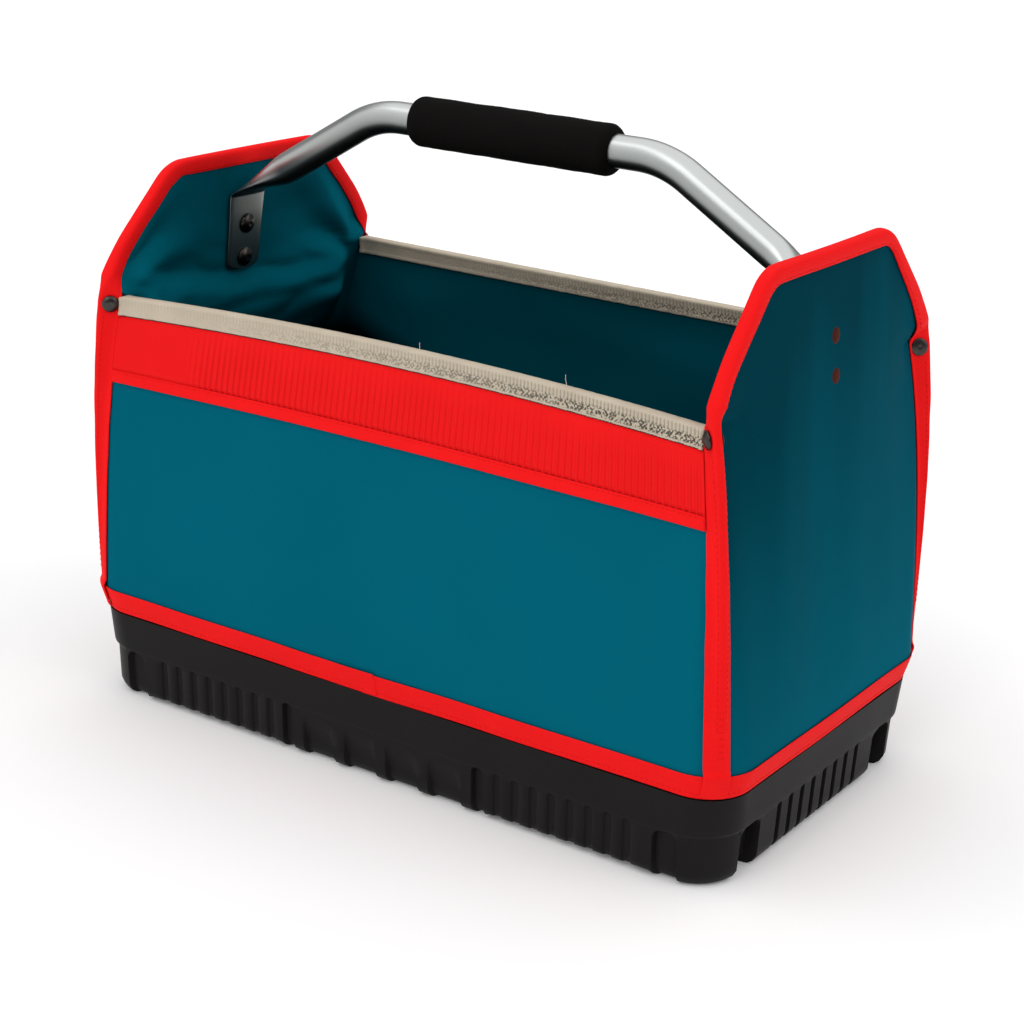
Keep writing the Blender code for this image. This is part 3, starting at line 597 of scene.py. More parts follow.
def ring_piece(name, rings, finish, *replaced, looped=False, smooth=0, sharp=180):
    cols, last = len(rings[0]), (len(rings) - 1) * len(rings[0])
    faces = grid_faces(len(rings), cols, 0, True)
    if looped:
        faces += [(last + j, last + (j + 1) % cols, (j + 1) % cols, j) for j in range(cols)]
    else:
        faces += [tuple(range(cols)), tuple(range(last, last + cols))]
    corners = [p for ring in rings for p in ring]
    obj = mesh_piece(name, corners, faces, finish, *replaced, sharp=sharp)
    if smooth:
        rounder = obj.modifiers.new("rounder", "SUBSURF")
        rounder.levels = rounder.render_levels = smooth
    return obj


def around(sides):
    """Cosine and sine of evenly spread directions."""
    turns = [TURN * k / sides for k in range(sides)]
    return [(math.cos(turn), math.sin(turn)) for turn in turns]


def about_turn(rows):
    """The same rows of points on the opposite side of the bag."""
    return [np.asarray(row) * (-1, -1, 1) for row in rows]


print("made the helpers", sheet_piece.__name__, "and", ring_piece.__name__)

# %% [markdown]
# ## Teal shell, boards and lining
# Each layer is one lofted sheet round the bag. Rows of points climb each wall from the foot to
# the rim, the two ends go on up to their flat tops, and the walls meet in the middle of each
# corner. Board inside keeps the walls nearly flat, so the cloth shows only long shallow waves.
# They are moved in code rather than simulated, because a board holds them. The lining is
# slacker: it folds where the pinned rim corners pull it.

# %% Shape the waves of the cloth
WAVE, WAVE_SIZE, END_WAVE, END_WAVE_SIZE = 0.0013, (0.11, 0.085), 0.0024, (0.050, 0.20)
FOOT_CLEAR, FOOT_FADE, SIDE_CLEAR, SIDE_FADE, TOP_CLEAR, TOP_FADE = 0.034, 0.035, 0.012, 0.05, 0.012, 0.04
SEEDS = {"front": 1.7, "rear": 5.2, "right": 9.4, "left": 13.1, "fold": 21.0, "crumple": 3.0}


def field(a, z, size_a, size_z, seed):
    flat = [noise.noise(Vector((p / size_a, q / size_z, seed))) for p, q in zip(a.ravel(), z.ravel())]
    return np.array(flat).reshape(a.shape)


def wave(side, a, z):
    """How far the cloth stands proud at the place a along a wall and the height z."""
    long_side = side in ("front", "rear")
    half, top = (half_length(z), RIM) if long_side else (edge_half(z), APEX)
    away = ease((half - np.abs(a) - FOOT_CLEAR * (1 - climb(z)) - SIDE_CLEAR) / SIDE_FADE)
    away = away * ease((z - BAND_TOP) / FOOT_FADE)
    size, depth = (WAVE_SIZE, WAVE) if long_side else (END_WAVE_SIZE, END_WAVE)
    height = depth * (0.35 + field(a, z, *size, SEEDS[side]))
    return height * away * ease((top - TOP_CLEAR - z) / TOP_FADE)


print("waves up to", round(1000 * WAVE, 1), "mm, at the ends", round(1000 * END_WAVE, 1), "mm")

# %% Shape the folds of the lining
LONG_FOLD, LONG_FOLD_SIZE = 0.0010, (0.07, 0.09)
LONG_CLEAR, LONG_TOP_CLEAR, LONG_TOP_FADE = 0.008, 0.016, 0.03
FOLD, PIN_HALF, LINE_DROP, LINE_TILT, LINE_SAG, BELOW, ABOVE = 0.0088, 0.128, 0.008, 0.014, 0.014, 0.05, 0.016
CRUMPLE, CRUMPLE_SIZE, CRUMPLE_REACH = 0.0026, (0.046, 0.018), 0.035
END_CLEAR, END_FOOT, END_FADE = 0.010, 0.030, 0.02
FAN, CREASES, FAN_TURN, FAN_HALF, FAN_DROP, FAN_TILT = 0.0034, 8, 0.8, 0.130, 0.006, 0.012
FAN_NEAR, FAN_FAR = 0.03, 0.062


def long_fold(a, z):
    """Slight folds of the lining on a long wall."""
    away = ease((half_length(z) - np.abs(a) - FOOT_CLEAR * (1 - climb(z)) - LONG_CLEAR) / SIDE_FADE)
    away = LONG_FOLD * away * ease((RIM - LONG_TOP_CLEAR - z) / LONG_TOP_FADE)
    return away * (0.6 + field(a, z, *LONG_FOLD_SIZE, SEEDS["fold"]))


def end_fold(a, z, rearward):
    """Folds of the lining at an end: one long bulge, crumples along it and a fan at each pin."""
    share = np.clip(np.abs(rearward), 0, 1)
    line = RIM - LINE_DROP - LINE_TILT * rearward - LINE_SAG * (1 - share ** 2)
    below, above = ease((z - line + BELOW) / BELOW), ease((line + ABOVE - z) / ABOVE)
    bulge = FOLD * np.where(z < line, below, above) * (0.45 + 0.55 * share)
    crumple = field(a, z, *CRUMPLE_SIZE, SEEDS["crumple"]) * np.exp(-((z - line) / CRUMPLE_REACH) ** 2)
    run, drop = FAN_HALF - np.abs(a), z - RIM + FAN_DROP + FAN_TILT * rearward
    reach = np.hypot(run, drop)
    fan = 1 + np.sin(np.arctan2(drop, run) * CREASES + FAN_TURN * np.sign(a))
    fan = fan * ease(reach / FAN_NEAR) * np.exp(-(reach / FAN_FAR) ** 2)
    away = ease((edge_half(z) - np.abs(a) - END_CLEAR - END_FOOT * (1 - climb(z))) / END_FADE)
    return away * (bulge + CRUMPLE * np.abs(crumple) + FAN * fan)


def lining_fold(side, a, z):
    if side in ("front", "rear"):
        return long_fold(a, z)
    return end_fold(a, z, a / PIN_HALF * (1 if side == "left" else -1))


SLACK_CLEAR, SLACK_FADE, SPAN = 0.011, 0.022, np.linspace(-0.030, 0.030, 13)


def slack(a, z):
    """Away from its edges an end wall bridges the kink at the rim in one long curve."""
    soft = np.mean([pull(z + s) for s in SPAN], axis=0)
    half = edge_half(z)
    share = np.minimum(np.abs(a) / half, 1)
    return (soft - pull(z)) * share * share * ease((half - np.abs(a) - SLACK_CLEAR) / SLACK_FADE)


print("folds up to", round(1000 * FOLD, 1), "mm")

# %% Lay out the rows of one wall
ARC, FLATS, LEVELS, BAND_MIDDLE = 6, 110, 62, 0.070
RIM_LEVELS = [RIM + up for up in (-0.0035, 0, 0.004, 0.008)]
WIRE_RADIUS, APEX_LEVELS = 0.0019, sorted({float(z) for z in EDGE_Z if z < APEX - 0.0001})
WALL_DROP = TAPE + 2 * GAP + 2 * WIRE_RADIUS
SIDES = ("front", "right", "rear", "left")


def wall_row(side, z, d, fold, drop=None):
    """One row of points along a wall, from the middle of one corner to that of the next."""
    long_side, low = side in ("front", "rear"), min(z, RIM)
    cx, cy, r = centre(low, d)
    turn = math.pi / 4 * (1 + np.arange(ARC + 1) / ARC)
    flat, across = (cx, cy) if long_side else (cy, cx)
    near, out = flat + r * np.cos(turn), across + r * np.sin(turn)
    a = np.concatenate((near, np.linspace(flat, -flat, FLATS + 1)[1:-1], -near[::-1]))
    if z > RIM:
        a = a / a[0] * float(edge_half(z))
    heights = rim_height(a / RIM_HALF_LENGTH) - drop if drop else np.full(a.shape, float(z))
    depth = d - wave(side, a, heights) + (lining_fold(side, a, heights) if fold else 0)
    if not long_side:
        depth = depth + slack(a, heights)
    row = front_at(a, np.minimum(heights, RIM), depth) if long_side else end_at(-a, heights, depth)
    row[:, 2] = heights
    if z <= RIM:
        axis, sign = (1, -1) if long_side else (0, 1)
        row[:ARC + 1, axis], row[-ARC - 1:, axis] = sign * out, sign * out[::-1]
    return row if side in ("front", "right") else row * (-1, -1, 1)


def wall_grid(side, low, d, fold=False):
    levels = [low] + [z for z in (BAND_LOW, BAND_MIDDLE, BAND_TOP) if z > low + GAP]
    levels += list(np.linspace(BAND_TOP, RIM, LEVELS)[1:-2])
    rows = [wall_row(side, z, d, fold) for z in levels]
    if side in ("front", "rear"):
        return rows + [wall_row(side, RIM - WALL_DROP, d, fold, drop=WALL_DROP)]
    return rows + [wall_row(side, z, d, fold) for z in RIM_LEVELS + APEX_LEVELS + [APEX]]


print("points in one row:", 2 * ARC + FLATS + 1)

# %% Loft the three layers
BOARD_LOW, LINING_LOW = BAND_TOP - 0.0027, 0.0469
LAYERS = (("teal_shell", "panel", 0, SHELL, BAND_LOW, teal_cloth),
          ("wall_boards", "stiffener", SHELL + GAP, BOARD, BOARD_LOW, board_grey),
          ("teal_lining", "lining", WALL - LINING, LINING, LINING_LOW, teal_inside))
for name, node, depth, thick, low, finish in LAYERS:
    grids = [wall_grid(side, low, depth, node == "lining") for side in SIDES]
    sheet_piece(name, grids, thick, finish, *[side + "_" + node for side in SIDES])

# %% [markdown]
# ## Stitches
# A machine stitch is a short raised dash of thread, sunk at both ends. Each row of them is one
# piece: small spindles laid along a path. Real thread in real holes would be far heavier and
# would look the same from here.

# %% Lay rows of stitches
STITCH, PITCH, STITCH_RADIUS = 0.0026, 0.0037, 0.00027
SPINDLE, SPINDLE_SIDES = ((0, 0.35, -0.6), (0.22, 1, 0.25), (0.78, 1, 0.25), (1, 0.35, -0.6)), 5


def between(table, reach, spot):
    """The place or the direction at the distance spot along a path."""
    return np.array([np.interp(spot, reach, table[:, k]) for k in range(3)])


def stitch_rows(name, paths, pitch=PITCH, thick=STITCH_RADIUS, long=STITCH):
    """Each path is a list of places with their outward directions."""
    rings = []
    for path in paths:
        places, normals = (np.array(column, float) for column in zip(*path))
        reach = np.concatenate(([0], np.cumsum(np.linalg.norm(np.diff(places, axis=0), axis=1))))
        for middle in np.arange(pitch / 2, reach[-1], pitch):
            ends = [between(places, reach, middle + s * long) for s in (-0.5, 0.5)]
            out = Vector(between(normals, reach, middle)).normalized()
            side = Vector(ends[1] - ends[0]).cross(out).normalized()
            for share, size, lift in SPINDLE:
                spot = Vector(mix(ends[0], ends[1], share)) + out * (lift * thick)
                rings.append([spot + (side * c + out * s) * (thick * size) for c, s in around(SPINDLE_SIDES)])
    faces, per = [], len(SPINDLE) * SPINDLE_SIDES
    for first in range(0, len(rings) * SPINDLE_SIDES, per):
        faces += grid_faces(len(SPINDLE), SPINDLE_SIDES, first, True)
        for cap in (first, first + per - SPINDLE_SIDES):
            faces.append(tuple(range(cap, cap + SPINDLE_SIDES)))
    return mesh_piece(name, [p for ring in rings for p in ring], faces, red_thread)


print("a stitch has", SPINDLE_SIDES * len(SPINDLE), "points")

# %% [markdown]
# ## Band round the foot
# One long tape wraps the foot of the walls over the lip of the tray. It starts and ends on the
# front, where the last few centimetres lap over the first, and a row of stitches runs along its
# lower edge. It is a closed section carried round a rounded rectangle.

# %% Find stations round the foot


def plan_stations(step):
    """Round a rounded rectangle: shares of its sides, then the outward direction."""
    cx, cy, r = centre(BAND_TOP, 0)
    corners, rows = ((-1, -1), (1, -1), (1, 1), (-1, 1)), []
    for k in range(4):
        here, there = np.array(corners[k]), np.array(corners[(k + 1) % 4])
        base, steps = math.pi / 2 * (k - 1), max(int(r * math.pi / 2 / step), 6)
        count = int(2 * (cx, cy)[k % 2] / step)
        rows += [(*mix(here, there, i / count), math.cos(base), math.sin(base)) for i in range(count)]
        turns = [base + math.pi / 2 * i / steps for i in range(steps)]
        rows += [(*there, math.cos(turn), math.sin(turn)) for turn in turns]
    return np.array(rows)


def body_ring(stations, z, d):
    cx, cy, r = centre(z, d)
    ex, ey, nx, ny = stations.T
    return points(ex * cx + r * nx, ey * cy + r * ny, z)


STATION_STEP = 0.0025
stations = plan_stations(STATION_STEP)
print("stations round the foot:", len(stations))

# %% Wrap the band
LAP_AT, LAP_STATIONS, LAP_RISE, LAP_PRESSED, FRONT_STATIONS = -0.016, 7, 0.0002, 0.7, 150
LAP_FROM, LAP_RUN, BAND_DRIFT, START_DIP, START_RUN, SEAM_UP = 18, 10, 0.0008, 0.0010, 40, 0.0034


def ripple(places, scale, seed):
    """A row of soft noise, about between minus one and one."""
    return np.array([noise.noise(Vector((p * scale, seed, 0))) for p in places])


first = int(np.argmin(np.abs(stations[:FRONT_STATIONS, 0] * centre(BAND_TOP, 0)[0] - LAP_AT)))
foot_path = np.concatenate((stations[first:], stations[:first + LAP_STATIONS]))
steps = np.arange(len(foot_path))
rise = ease((steps - len(foot_path) + LAP_FROM) / LAP_RUN) * TAPE * LAP_PRESSED + LAP_RISE
drift = BAND_DRIFT * ripple(steps, 0.03, 4.0) - START_DIP * (1 - ease(steps / START_RUN))


def on_band(up, d):
    ring = body_ring(foot_path, BAND_LOW + up, d)
    ring[:, :2] += foot_path[:, 2:] * rise[:, None]
    ring[:, 2] += drift
    return ring


BAND_SECTION = ((0.0006, 0), (0.0045, 0), (0.0085, 0), (0.0125, 0), (0.0158, 0), (0.0167, 0.5),
                (0.0160, 1), (0.0125, 1.15), (0.0085, 1.3), (0.0050, 1.35), (0.0034, 1.05),
                (0.0018, 1.4), (0.0002, 1.3), (-0.0003, 0.5))
lines = [on_band(up, -GAP - TAPE * thick) for up, thick in BAND_SECTION]
rings = [[line[k] for line in lines] for k in steps]
ring_piece("bottom_band_tape", rings, red_tape, "bottom_band", smooth=1)
band_seam = on_band(SEAM_UP, -GAP - TAPE * 1.15)
stitch_rows("band_stitches", [[(p, (n[2], n[3], 0)) for p, n in zip(band_seam[:-4], foot_path[:-4])]])

# %% [markdown]
# ## Edge bindings
# Each binding is one tape folded over the raw edges of two walls. Up a corner it holds the two
# walls back to back, so it stands out as a fin between two narrow legs. Above the rim it only
# covers the edge of the end wall, up over the flat top, and goes down the other corner. Its
# outer face narrows down to the front rim corner and widens down to the rear one. Stitches run
# along both faces, and short bar tacks hold the fins down at the foot.

# %% Write the section of a binding at a corner
FRONT_LEG, END_LEG, RIM_LEG = 0.0112, 0.0050, 0.0050
FIN, FIN_HALF, FIN_PINCH, FIN_ROOT, FIN_EARLY_SHARE = 0.0118, 0.0046, 0.0011, 0.0019, 0.55
FLAT_PROUD, INNER_FACE, OUTER_FACE, EAR_EASE = 0.0014, 0.0092, 0.0080, 0.0008
NARROWED, WIDENED = 0.45, -1.0
FIN_SHARES = ((0.45, 0.88), (0.88, 0.80), (1.0, 0.42))
LEG_SHARES = ((1.0, 0), (0.92, 0.0002), (0.74, 0.0004))
LEG_FLAT_SHARES = (0.50, 0.38, 0.26, 0.14)
HALF_ROOT = math.sqrt(0.5)


def fin_height(z):
    share = climb(z)
    return share * (FIN_EARLY_SHARE + (1 - FIN_EARLY_SHARE) * share * share)


def fin_half(z):
    return FIN_HALF - FIN_PINCH * climb(z) ** 6


def leg(z, sign):
    return mix(FRONT_LEG if sign < 0 else END_LEG, RIM_LEG, climb(z) ** 1.5)


def fin_point(z, out, wide, sign):
    corner = np.array((half_length(z) + GAP, -(half_width(z) + GAP), z))
    return corner + np.array((out + sign * wide, -out + sign * wide, 0)) * HALF_ROOT


def corner_loop(z, lift, wobble):
    """Round the tape: out along the front leg and the fin, back along the end leg, then inside."""
    rise, half = float(fin_height(z)), float(fin_half(z))
    outer, inner = [], []
    for sign in (-1, 1):
        reach = sign * float(leg(z, sign)) * (1 + wobble * 0.10)
        far = [corner_at(reach * s, z, -SOFT_GAP - TAPE - swell - lift) for s, swell in LEG_SHARES]
        near = [corner_at(reach * s, z, -SOFT_GAP - lift) for s, _ in LEG_SHARES]
        fins = [(-FIN_ROOT, half)] + [(FIN * s * (1 + wobble * 0.08), half * t) for s, t in FIN_SHARES]
        for (out, wide), share in zip(fins, LEG_FLAT_SHARES):
            flat = corner_at(reach * share, z, -GAP - FLAT_PROUD - lift)
            far.append(mix(flat, fin_point(z, out, wide, sign), rise))
            near.append(corner_at(reach * share, z, -GAP - SOFT_GAP * rise - lift))
        outer.append(far)
        inner.append(near)
    return outer[0] + outer[1][::-1] + inner[1] + inner[0][::-1]


print("points in a corner section:", len(corner_loop(RIM, 0, 0)))

# %% Write its section over the free edge
EDGE_FAR = ((-1.0, 0), (-0.90, 0.0004), (-0.66, 0.0010), (-0.38, 0.0011), (-0.02, 0.0009),
            (0.16, -0.0002), (0.25, -0.0021))
EDGE_NEAR = ((-1.0, 1), (-0.92, 1), (-0.74, 1), (-0.40, 1), (0, 1), (0.025, 0.66), (0.025, 0.2))
WALL_MIDDLE, WALL_HALF = -WALL / 2, WALL / 2 + SOFT_GAP


def edge_loop(point, normal, more, wobble, narrowed):
    """Round the tape at one point of the edge: inner face, outer face, then the hollow."""
    down = min(max((APEX - point.y) / (APEX - EAR_LOW), 0), 1) ** 1.5
    sections = [(r, -(WALL_HALF + more + TAPE + extra)) for r, extra in EDGE_FAR]
    sections += [(r, -shift) for r, shift in sections[::-1]]
    near = [(r, (WALL_HALF + more) * s) for r, s in EDGE_NEAR]
    sections += near + [(r, -shift) for r, shift in near[::-1]]
    loop = []
    for share, shift in sections:
        reach = share * (OUTER_FACE if shift > 0 else INNER_FACE) * (1 + wobble * 0.12 * (share < -0.5))
        reach *= 1 - narrowed * down * (share < 0 < shift)
        covered, spot = point + normal * min(reach, 0), point + normal * reach
        place = end_at(covered.x, min(covered.y, APEX), 0)
        loop.append(np.array((place[0] + WALL_MIDDLE + shift, -spot.x, spot.y)))
    return loop


print("points in an edge section:", len(edge_loop(*EDGE[0], 0, 0, 0)))

# %% Carry each binding along its path
LOW_HEIGHTS = [BAND_LOW + 0.0006, 0.066, 0.071, 0.0755, BAND_TOP, BAND_TOP + 0.0022, BAND_TOP + 0.0040]
FIN_HEIGHTS, TOP_SHARES = 48, (0.75, 0.5, 0.25, 0)


def half_binding(seed, narrowed):
    """From the foot up the front corner, along the free edge and to the middle of the top."""
    def wobble(k):
        return noise.noise(Vector((k * 0.23, seed, 7.0)))

    heights = LOW_HEIGHTS + list(np.linspace(BAND_TOP + 0.008, RIM, FIN_HEIGHTS))
    lifts = [2 * TAPE * (1 - float(ease((z - BAND_TOP - 0.0006) / 0.0034))) for z in heights]
    places = enumerate(zip(heights, lifts))
    rings = [corner_loop(z, lift, wobble(k) * float(climb(z))) for k, (z, lift) in places]
    for k, (p, n) in enumerate(EDGE):
        more = EAR_EASE * (1 - float(ease(k / 6)))
        rings.append(edge_loop(p, n, more, wobble(60 + k) * min(k / 4, 1), narrowed))
    for s in TOP_SHARES:
        rings.append(edge_loop(Vector((EDGE_Y[-1] * s, APEX)), EDGE[-1][1], 0, 0.3 * wobble(100 + s), 0))
    return rings


def binding(seed):
    back = half_binding(seed, WIDENED)[-2::-1]
    return half_binding(seed, NARROWED) + [[p * (1, -1, 1) for p in ring] for ring in back]


bindings = {"right": binding(3.0), "left": about_turn(binding(8.0))}
for side, rings in bindings.items():
    ring_piece(side + "_binding_tape", rings, red_tape, side + "_binding", smooth=1)

# %% Sew the bindings
EDGE_RINGS, FRONT_FIN, REAR_FIN = slice(56, -56), slice(12, 52), slice(-52, -12)
FRONT_FOOT, REAR_FOOT = slice(8, 16), slice(-16, -8)
EDGE_INNER, EDGE_OUTER, FIN_FRONT, FIN_END, CREST, END_LOW = (1, 2), (12, 11), (4, 5), (9, 8), 7, 10
TACK_PITCH, TACK, TACK_RADIUS = 0.0050, 0.0044, 0.00045


def seam(rings, pair, share, out):
    """Between two points of each section, with one outward direction."""
    return [(mix(ring[pair[0]], ring[pair[1]], share), out) for ring in rings]


def binding_seams(rings):
    """Rows of stitches on both faces of the tape, over the free edge and along both fins."""
    edge = rings[EDGE_RINGS]
    rows = [seam(edge, EDGE_INNER, 0.5, (-1, 0, 0)), seam(edge, EDGE_OUTER, 0.5, (1, 0, 0))]
    for way, fin in ((1, FRONT_FIN), (-1, REAR_FIN)):
        rows.append(seam(rings[fin], FIN_FRONT, 0.35, (-1, -way, 0)))
        rows.append(seam(rings[fin], FIN_END, 0.35, (1, way, 0)))
    return rows


def bar_tacks(rings):
    """Short stitches across both seams, where they are sewn down to the foot."""
    tacks = []
    for way, low in ((-1, FRONT_FOOT), (1, REAR_FOOT)):
        for ring in rings[low]:
            places = (mix(ring[FIN_FRONT[0]], ring[FIN_FRONT[1]], 0.5), ring[CREST], ring[END_LOW])
            tacks.append([(place, (1, way, 0)) for place in places])
    return tacks


for side, rings in bindings.items():
    sign = 1 if side == "right" else -1
    rows, tacks = ([[(p, (sign * n[0], sign * n[1], n[2])) for p, n in row] for row in find(rings)]
                   for find in (binding_seams, bar_tacks))
    stitch_rows(side + "_binding_stitches", rows)
    stitch_rows(side + "_bar_tacks", tacks, TACK_PITCH, TACK_RADIUS, TACK)

# %% [markdown]
# ## Rim tape
# A knitted tape is folded over each long rim, with a wire inside it. Its loops stand out as
# fine ribs near the fold and lean over lower down, and its edge is a little thicker. The relief
# is real geometry, because the light catches it, and the shader adds painted shade in the
# furrows and dark specks of backing in the gaps. Two loose ends of thread stand up from the front tape.

# %% Knit the rim tapes
KNIT_DEPTH, KNIT_STEP, TAPE_OVERLAP, UNDER_LEG = 0.00030, 0.00065, 0.0014, 0.0008
KNIT_ROUGH, LEG_SLOPE, WORN_SIDE, REAR_RELIEF = 0.0002, 0.003, -0.2, 0.6
FOLD_OVER = ((1.0, 0.5), (0.985, 1.3), (0.93, 1.6), (0.84, 1.5), (0.76, 1.05), (0.66, 1), (0.56, 1),
             (0.46, 1), (0.36, 1), (0.27, 1.05), (0.18, 1.35), (0.10, 1.3), (0.03, 0.7))
TAPE_INSIDE = ((1.0, WALL + SOFT_GAP), (0.08, WALL + SOFT_GAP), (0.08, -SOFT_GAP), (1.0, -SOFT_GAP))


def trim_reach(z):
    """How far a tape along a long wall goes, to just under the leg of the binding."""
    return float(corner_at(-float(leg(z, -1)), z, 0)[0]) + UNDER_LEG


def arched_line(x, heights, d):
    """A line of points along a long wall, which may climb above the level rim."""
    line = front_at(x, np.minimum(heights, RIM), d)
    line[:, 2] = heights
    return line


def rim_line(x, drop, d):
    return arched_line(x, rim_height(x / RIM_HALF_LENGTH) - drop, d)


def sections_of(side, lines):
    """The cross sections of a piece that was drawn as long lines along the front."""
    rings = [np.array([line[k] for line in lines]) for k in range(len(lines[0]))]
    return rings if side == "front" else about_turn(rings)


tape_half = trim_reach(RIM) + TAPE_OVERLAP
tape_x = np.arange(-tape_half, tape_half, KNIT_STEP)
over_leg = ease((np.abs(tape_x) - trim_reach(RIM) + LEG_SLOPE) / LEG_SLOPE) * TAPE


def tape_lines(seed, worn):
    """Down both faces of the tape, upright ribs near the fold and leaning ones below, then inside."""
    lines = []
    rough = ripple(tape_x, 160, seed) * KNIT_ROUGH
    more = np.clip((tape_x - WORN_SIDE) * 3, 0.25, 1) if worn else REAR_RELIEF
    for side in (-1, 1):
        for drop, thick in FOLD_OVER[::-side]:
            lean = np.clip((drop - 0.45) * 5, 0, 1) * drop * TAPE_LEG * 0.9
            ribs = np.sin(TURN * (tape_x + side * lean) / KNIT) * KNIT_DEPTH * more * min(drop * 4, 1)
            proud = TAPE * thick + ribs + rough + over_leg
            d = -SOFT_GAP - proud if side < 0 else WALL + SOFT_GAP + proud
            lines.append(rim_line(tape_x, drop * TAPE_LEG + rough, d))
    flat = [(drop * TAPE_LEG, np.full(tape_x.shape, d)) for drop, d in TAPE_INSIDE]
    return lines + [rim_line(tape_x, drop, d) for drop, d in flat]


for side, seed in (("front", 2.0), ("rear", 6.0)):
    rings = sections_of(side, tape_lines(seed, side == "front"))
    ring_piece(side + "_rim_knit", rings, beige_knit, side + "_rim_tape")

# %% Let two loose threads stand up
THREAD_THICK, THREAD_SUNK, THREAD_SWAY, THREAD_STEPS, THREAD_SIDES = 0.00024, 0.0006, 0.0008, 9, 6
THREADS = ((0.012, (0.0, 0.0035, 0.0065), (0.0, 0.0006, 0.0016)),
           (0.1205, (0.0, 0.004, 0.0085), (0.0, -0.0006, -0.0002)))
for k, (x, rises, drifts) in enumerate(THREADS):
    base = rim_line(np.array([x]), THREAD_SUNK, np.array([WALL * 0.4]))[0]
    rings = []
    for share in np.linspace(0, 1, THREAD_STEPS):
        up, aside = (np.interp(share, (0, 0.5, 1), table) for table in (rises, drifts))
        spot = base + np.array((aside, THREAD_SWAY * math.sin(share * 5), up - THREAD_SUNK))
        size = THREAD_THICK * (1 - share * 0.4)
        rings.append([spot + np.array((size * c, size * s, 0)) for c, s in around(THREAD_SIDES)])
    ring_piece(f"loose_thread_{k + 1}", rings, pale_thread)

# %% [markdown]
# ## Ribbed bands and their hems
# Below each rim tape lies an elastic band with upright ribs, sewn down along a plain folded hem.
# The ribs fade out towards the left end, the top and the bindings, where the band is stretched
# flat. They are modelled in the mesh so that their shadows move with the light.

# %% Draw the lines of the ribbed bands and hems
HEM_LOW, RIB_LOW, RIBBED, HEM = 0.225, 0.2334, 0.0009, 0.0011
RIB_PITCH, RIB_DEPTH, RIB_STEP, RIB_JITTER = 0.0046, 0.00062, 0.00058, 0.0020
RIB_SINK, BAND_BACK, HEM_OVER = 0.0002, 0.0001, 0.0002
RIBS_FROM, RIBS_GROW, RIBS_END, EDGE_LOSS = -0.172, 0.030, 0.003, 0.0004
RIB_ROWS, BACK_ROWS, HEM_COLUMNS = np.linspace(0, 1, 15), (1, 0.66, 0.33, 0), 300
HEM_SECTION = ((1.0, 0.45), (0.93, 1.0), (0.72, 1.05), (0.5, 1.2), (0.28, 1.25), (0.12, 1.2), (0.03, 0.9),
               (0.0, 0.3), (0.05, 0.0), (0.5, 0.0), (0.95, 0.0))


def band_line(side, z_low, z_high, share, d, x_share, arch):
    """One line of points along a band, from its left end to its right end."""
    z = mix(z_low, z_high, share)
    x = x_share * trim_reach(z)
    heights = z + arch * share * (rim_height(x / RIM_HALF_LENGTH) - RIM)
    return arched_line(x, heights, d - wave(side, x, heights))


def ribbed_lines(side, seed):
    """Up the front of the band with its ribs, then down its flat back."""
    half = trim_reach(RIB_LOW)
    x_share = np.linspace(-1, 1, int(2 * half / RIB_STEP))
    x = x_share * half
    jitter = ripple(x, 9, seed) * RIB_JITTER
    start = ease((x - RIBS_FROM) / RIBS_GROW) * ease((half - UNDER_LEG - np.abs(x)) / RIBS_END)
    low, high, lines = RIB_LOW + GAP, RIM - TAPE_LEG - SOFT_GAP, []
    for share in RIB_ROWS:
        fade = start * (0.25 + 0.75 * float(ease((1.02 - share) / 0.55)))
        ribs = (1 - np.abs(np.sin(math.pi * (x + jitter) / RIB_PITCH)) ** 3) * RIB_DEPTH * fade
        edge = EDGE_LOSS * (1 - float(ease(min(share, 1 - share) / 0.06)))
        d = -SOFT_GAP - RIBBED + edge - RIB_SINK + ribs
        lines.append(band_line(side, low, high, share, d, x_share, 1))
    back = np.full(x.shape, -SOFT_GAP + BAND_BACK)
    return lines + [band_line(side, low, high, share, back, x_share, 1) for share in BACK_ROWS]


def hem_lines(side, seed):
    x_share = np.linspace(-1, 1, HEM_COLUMNS)
    soft, high, lines = ripple(x_share, 24, seed), RIB_LOW + HEM_OVER, []
    for share, thick in HEM_SECTION:
        d = -SOFT_GAP - HEM * thick * (1 + 0.12 * soft)
        lines.append(band_line(side, HEM_LOW, high, share, d, x_share, 0))
    return lines


print("a band reaches", round(1000 * trim_reach(RIB_LOW)), "mm from the middle")

# %% Sew the bands on
HEM_SEAM_AT, HEM_SEAM_REACH, HEM_SEAM_POINTS = 0.86, 0.98, 200
for side, seed in (("front", 1.0), ("rear", 5.0)):
    ribbed, hem = sections_of(side, ribbed_lines(side, seed)), sections_of(side, hem_lines(side, seed))
    ring_piece(side + "_ribbed_tape", ribbed, red_rib, side + "_ribbed_band")
    ring_piece(side + "_hem_tape", hem, red_tape, side + "_band_hem")
    x_share = np.linspace(-HEM_SEAM_REACH, HEM_SEAM_REACH, HEM_SEAM_POINTS)
    proud = np.full(x_share.shape, -SOFT_GAP - HEM * 1.02)
    hem_seam = band_line(side, HEM_LOW, RIB_LOW, HEM_SEAM_AT, proud, x_share, 0)
    turn_it = (1, 1, 1) if side == "front" else (-1, -1, 1)
    stitch_rows(side + "_hem_stitches", [[(p * turn_it, (0, -turn_it[1], 0)) for p in hem_seam]])

# %% [markdown]
# ## Moulded tray
# The tray is one injection moulding. Its walls carry grooves with arched tops, wider on the
# middle of the front, and notches near the corners, and its lower edge is scalloped between the
# feet. The picture shows the grooves of the long sides only faintly, so they are shallow there,
# and the wide ones fade out upwards. The loft takes its columns exactly at the groove edges, so
# the edges stay clean.

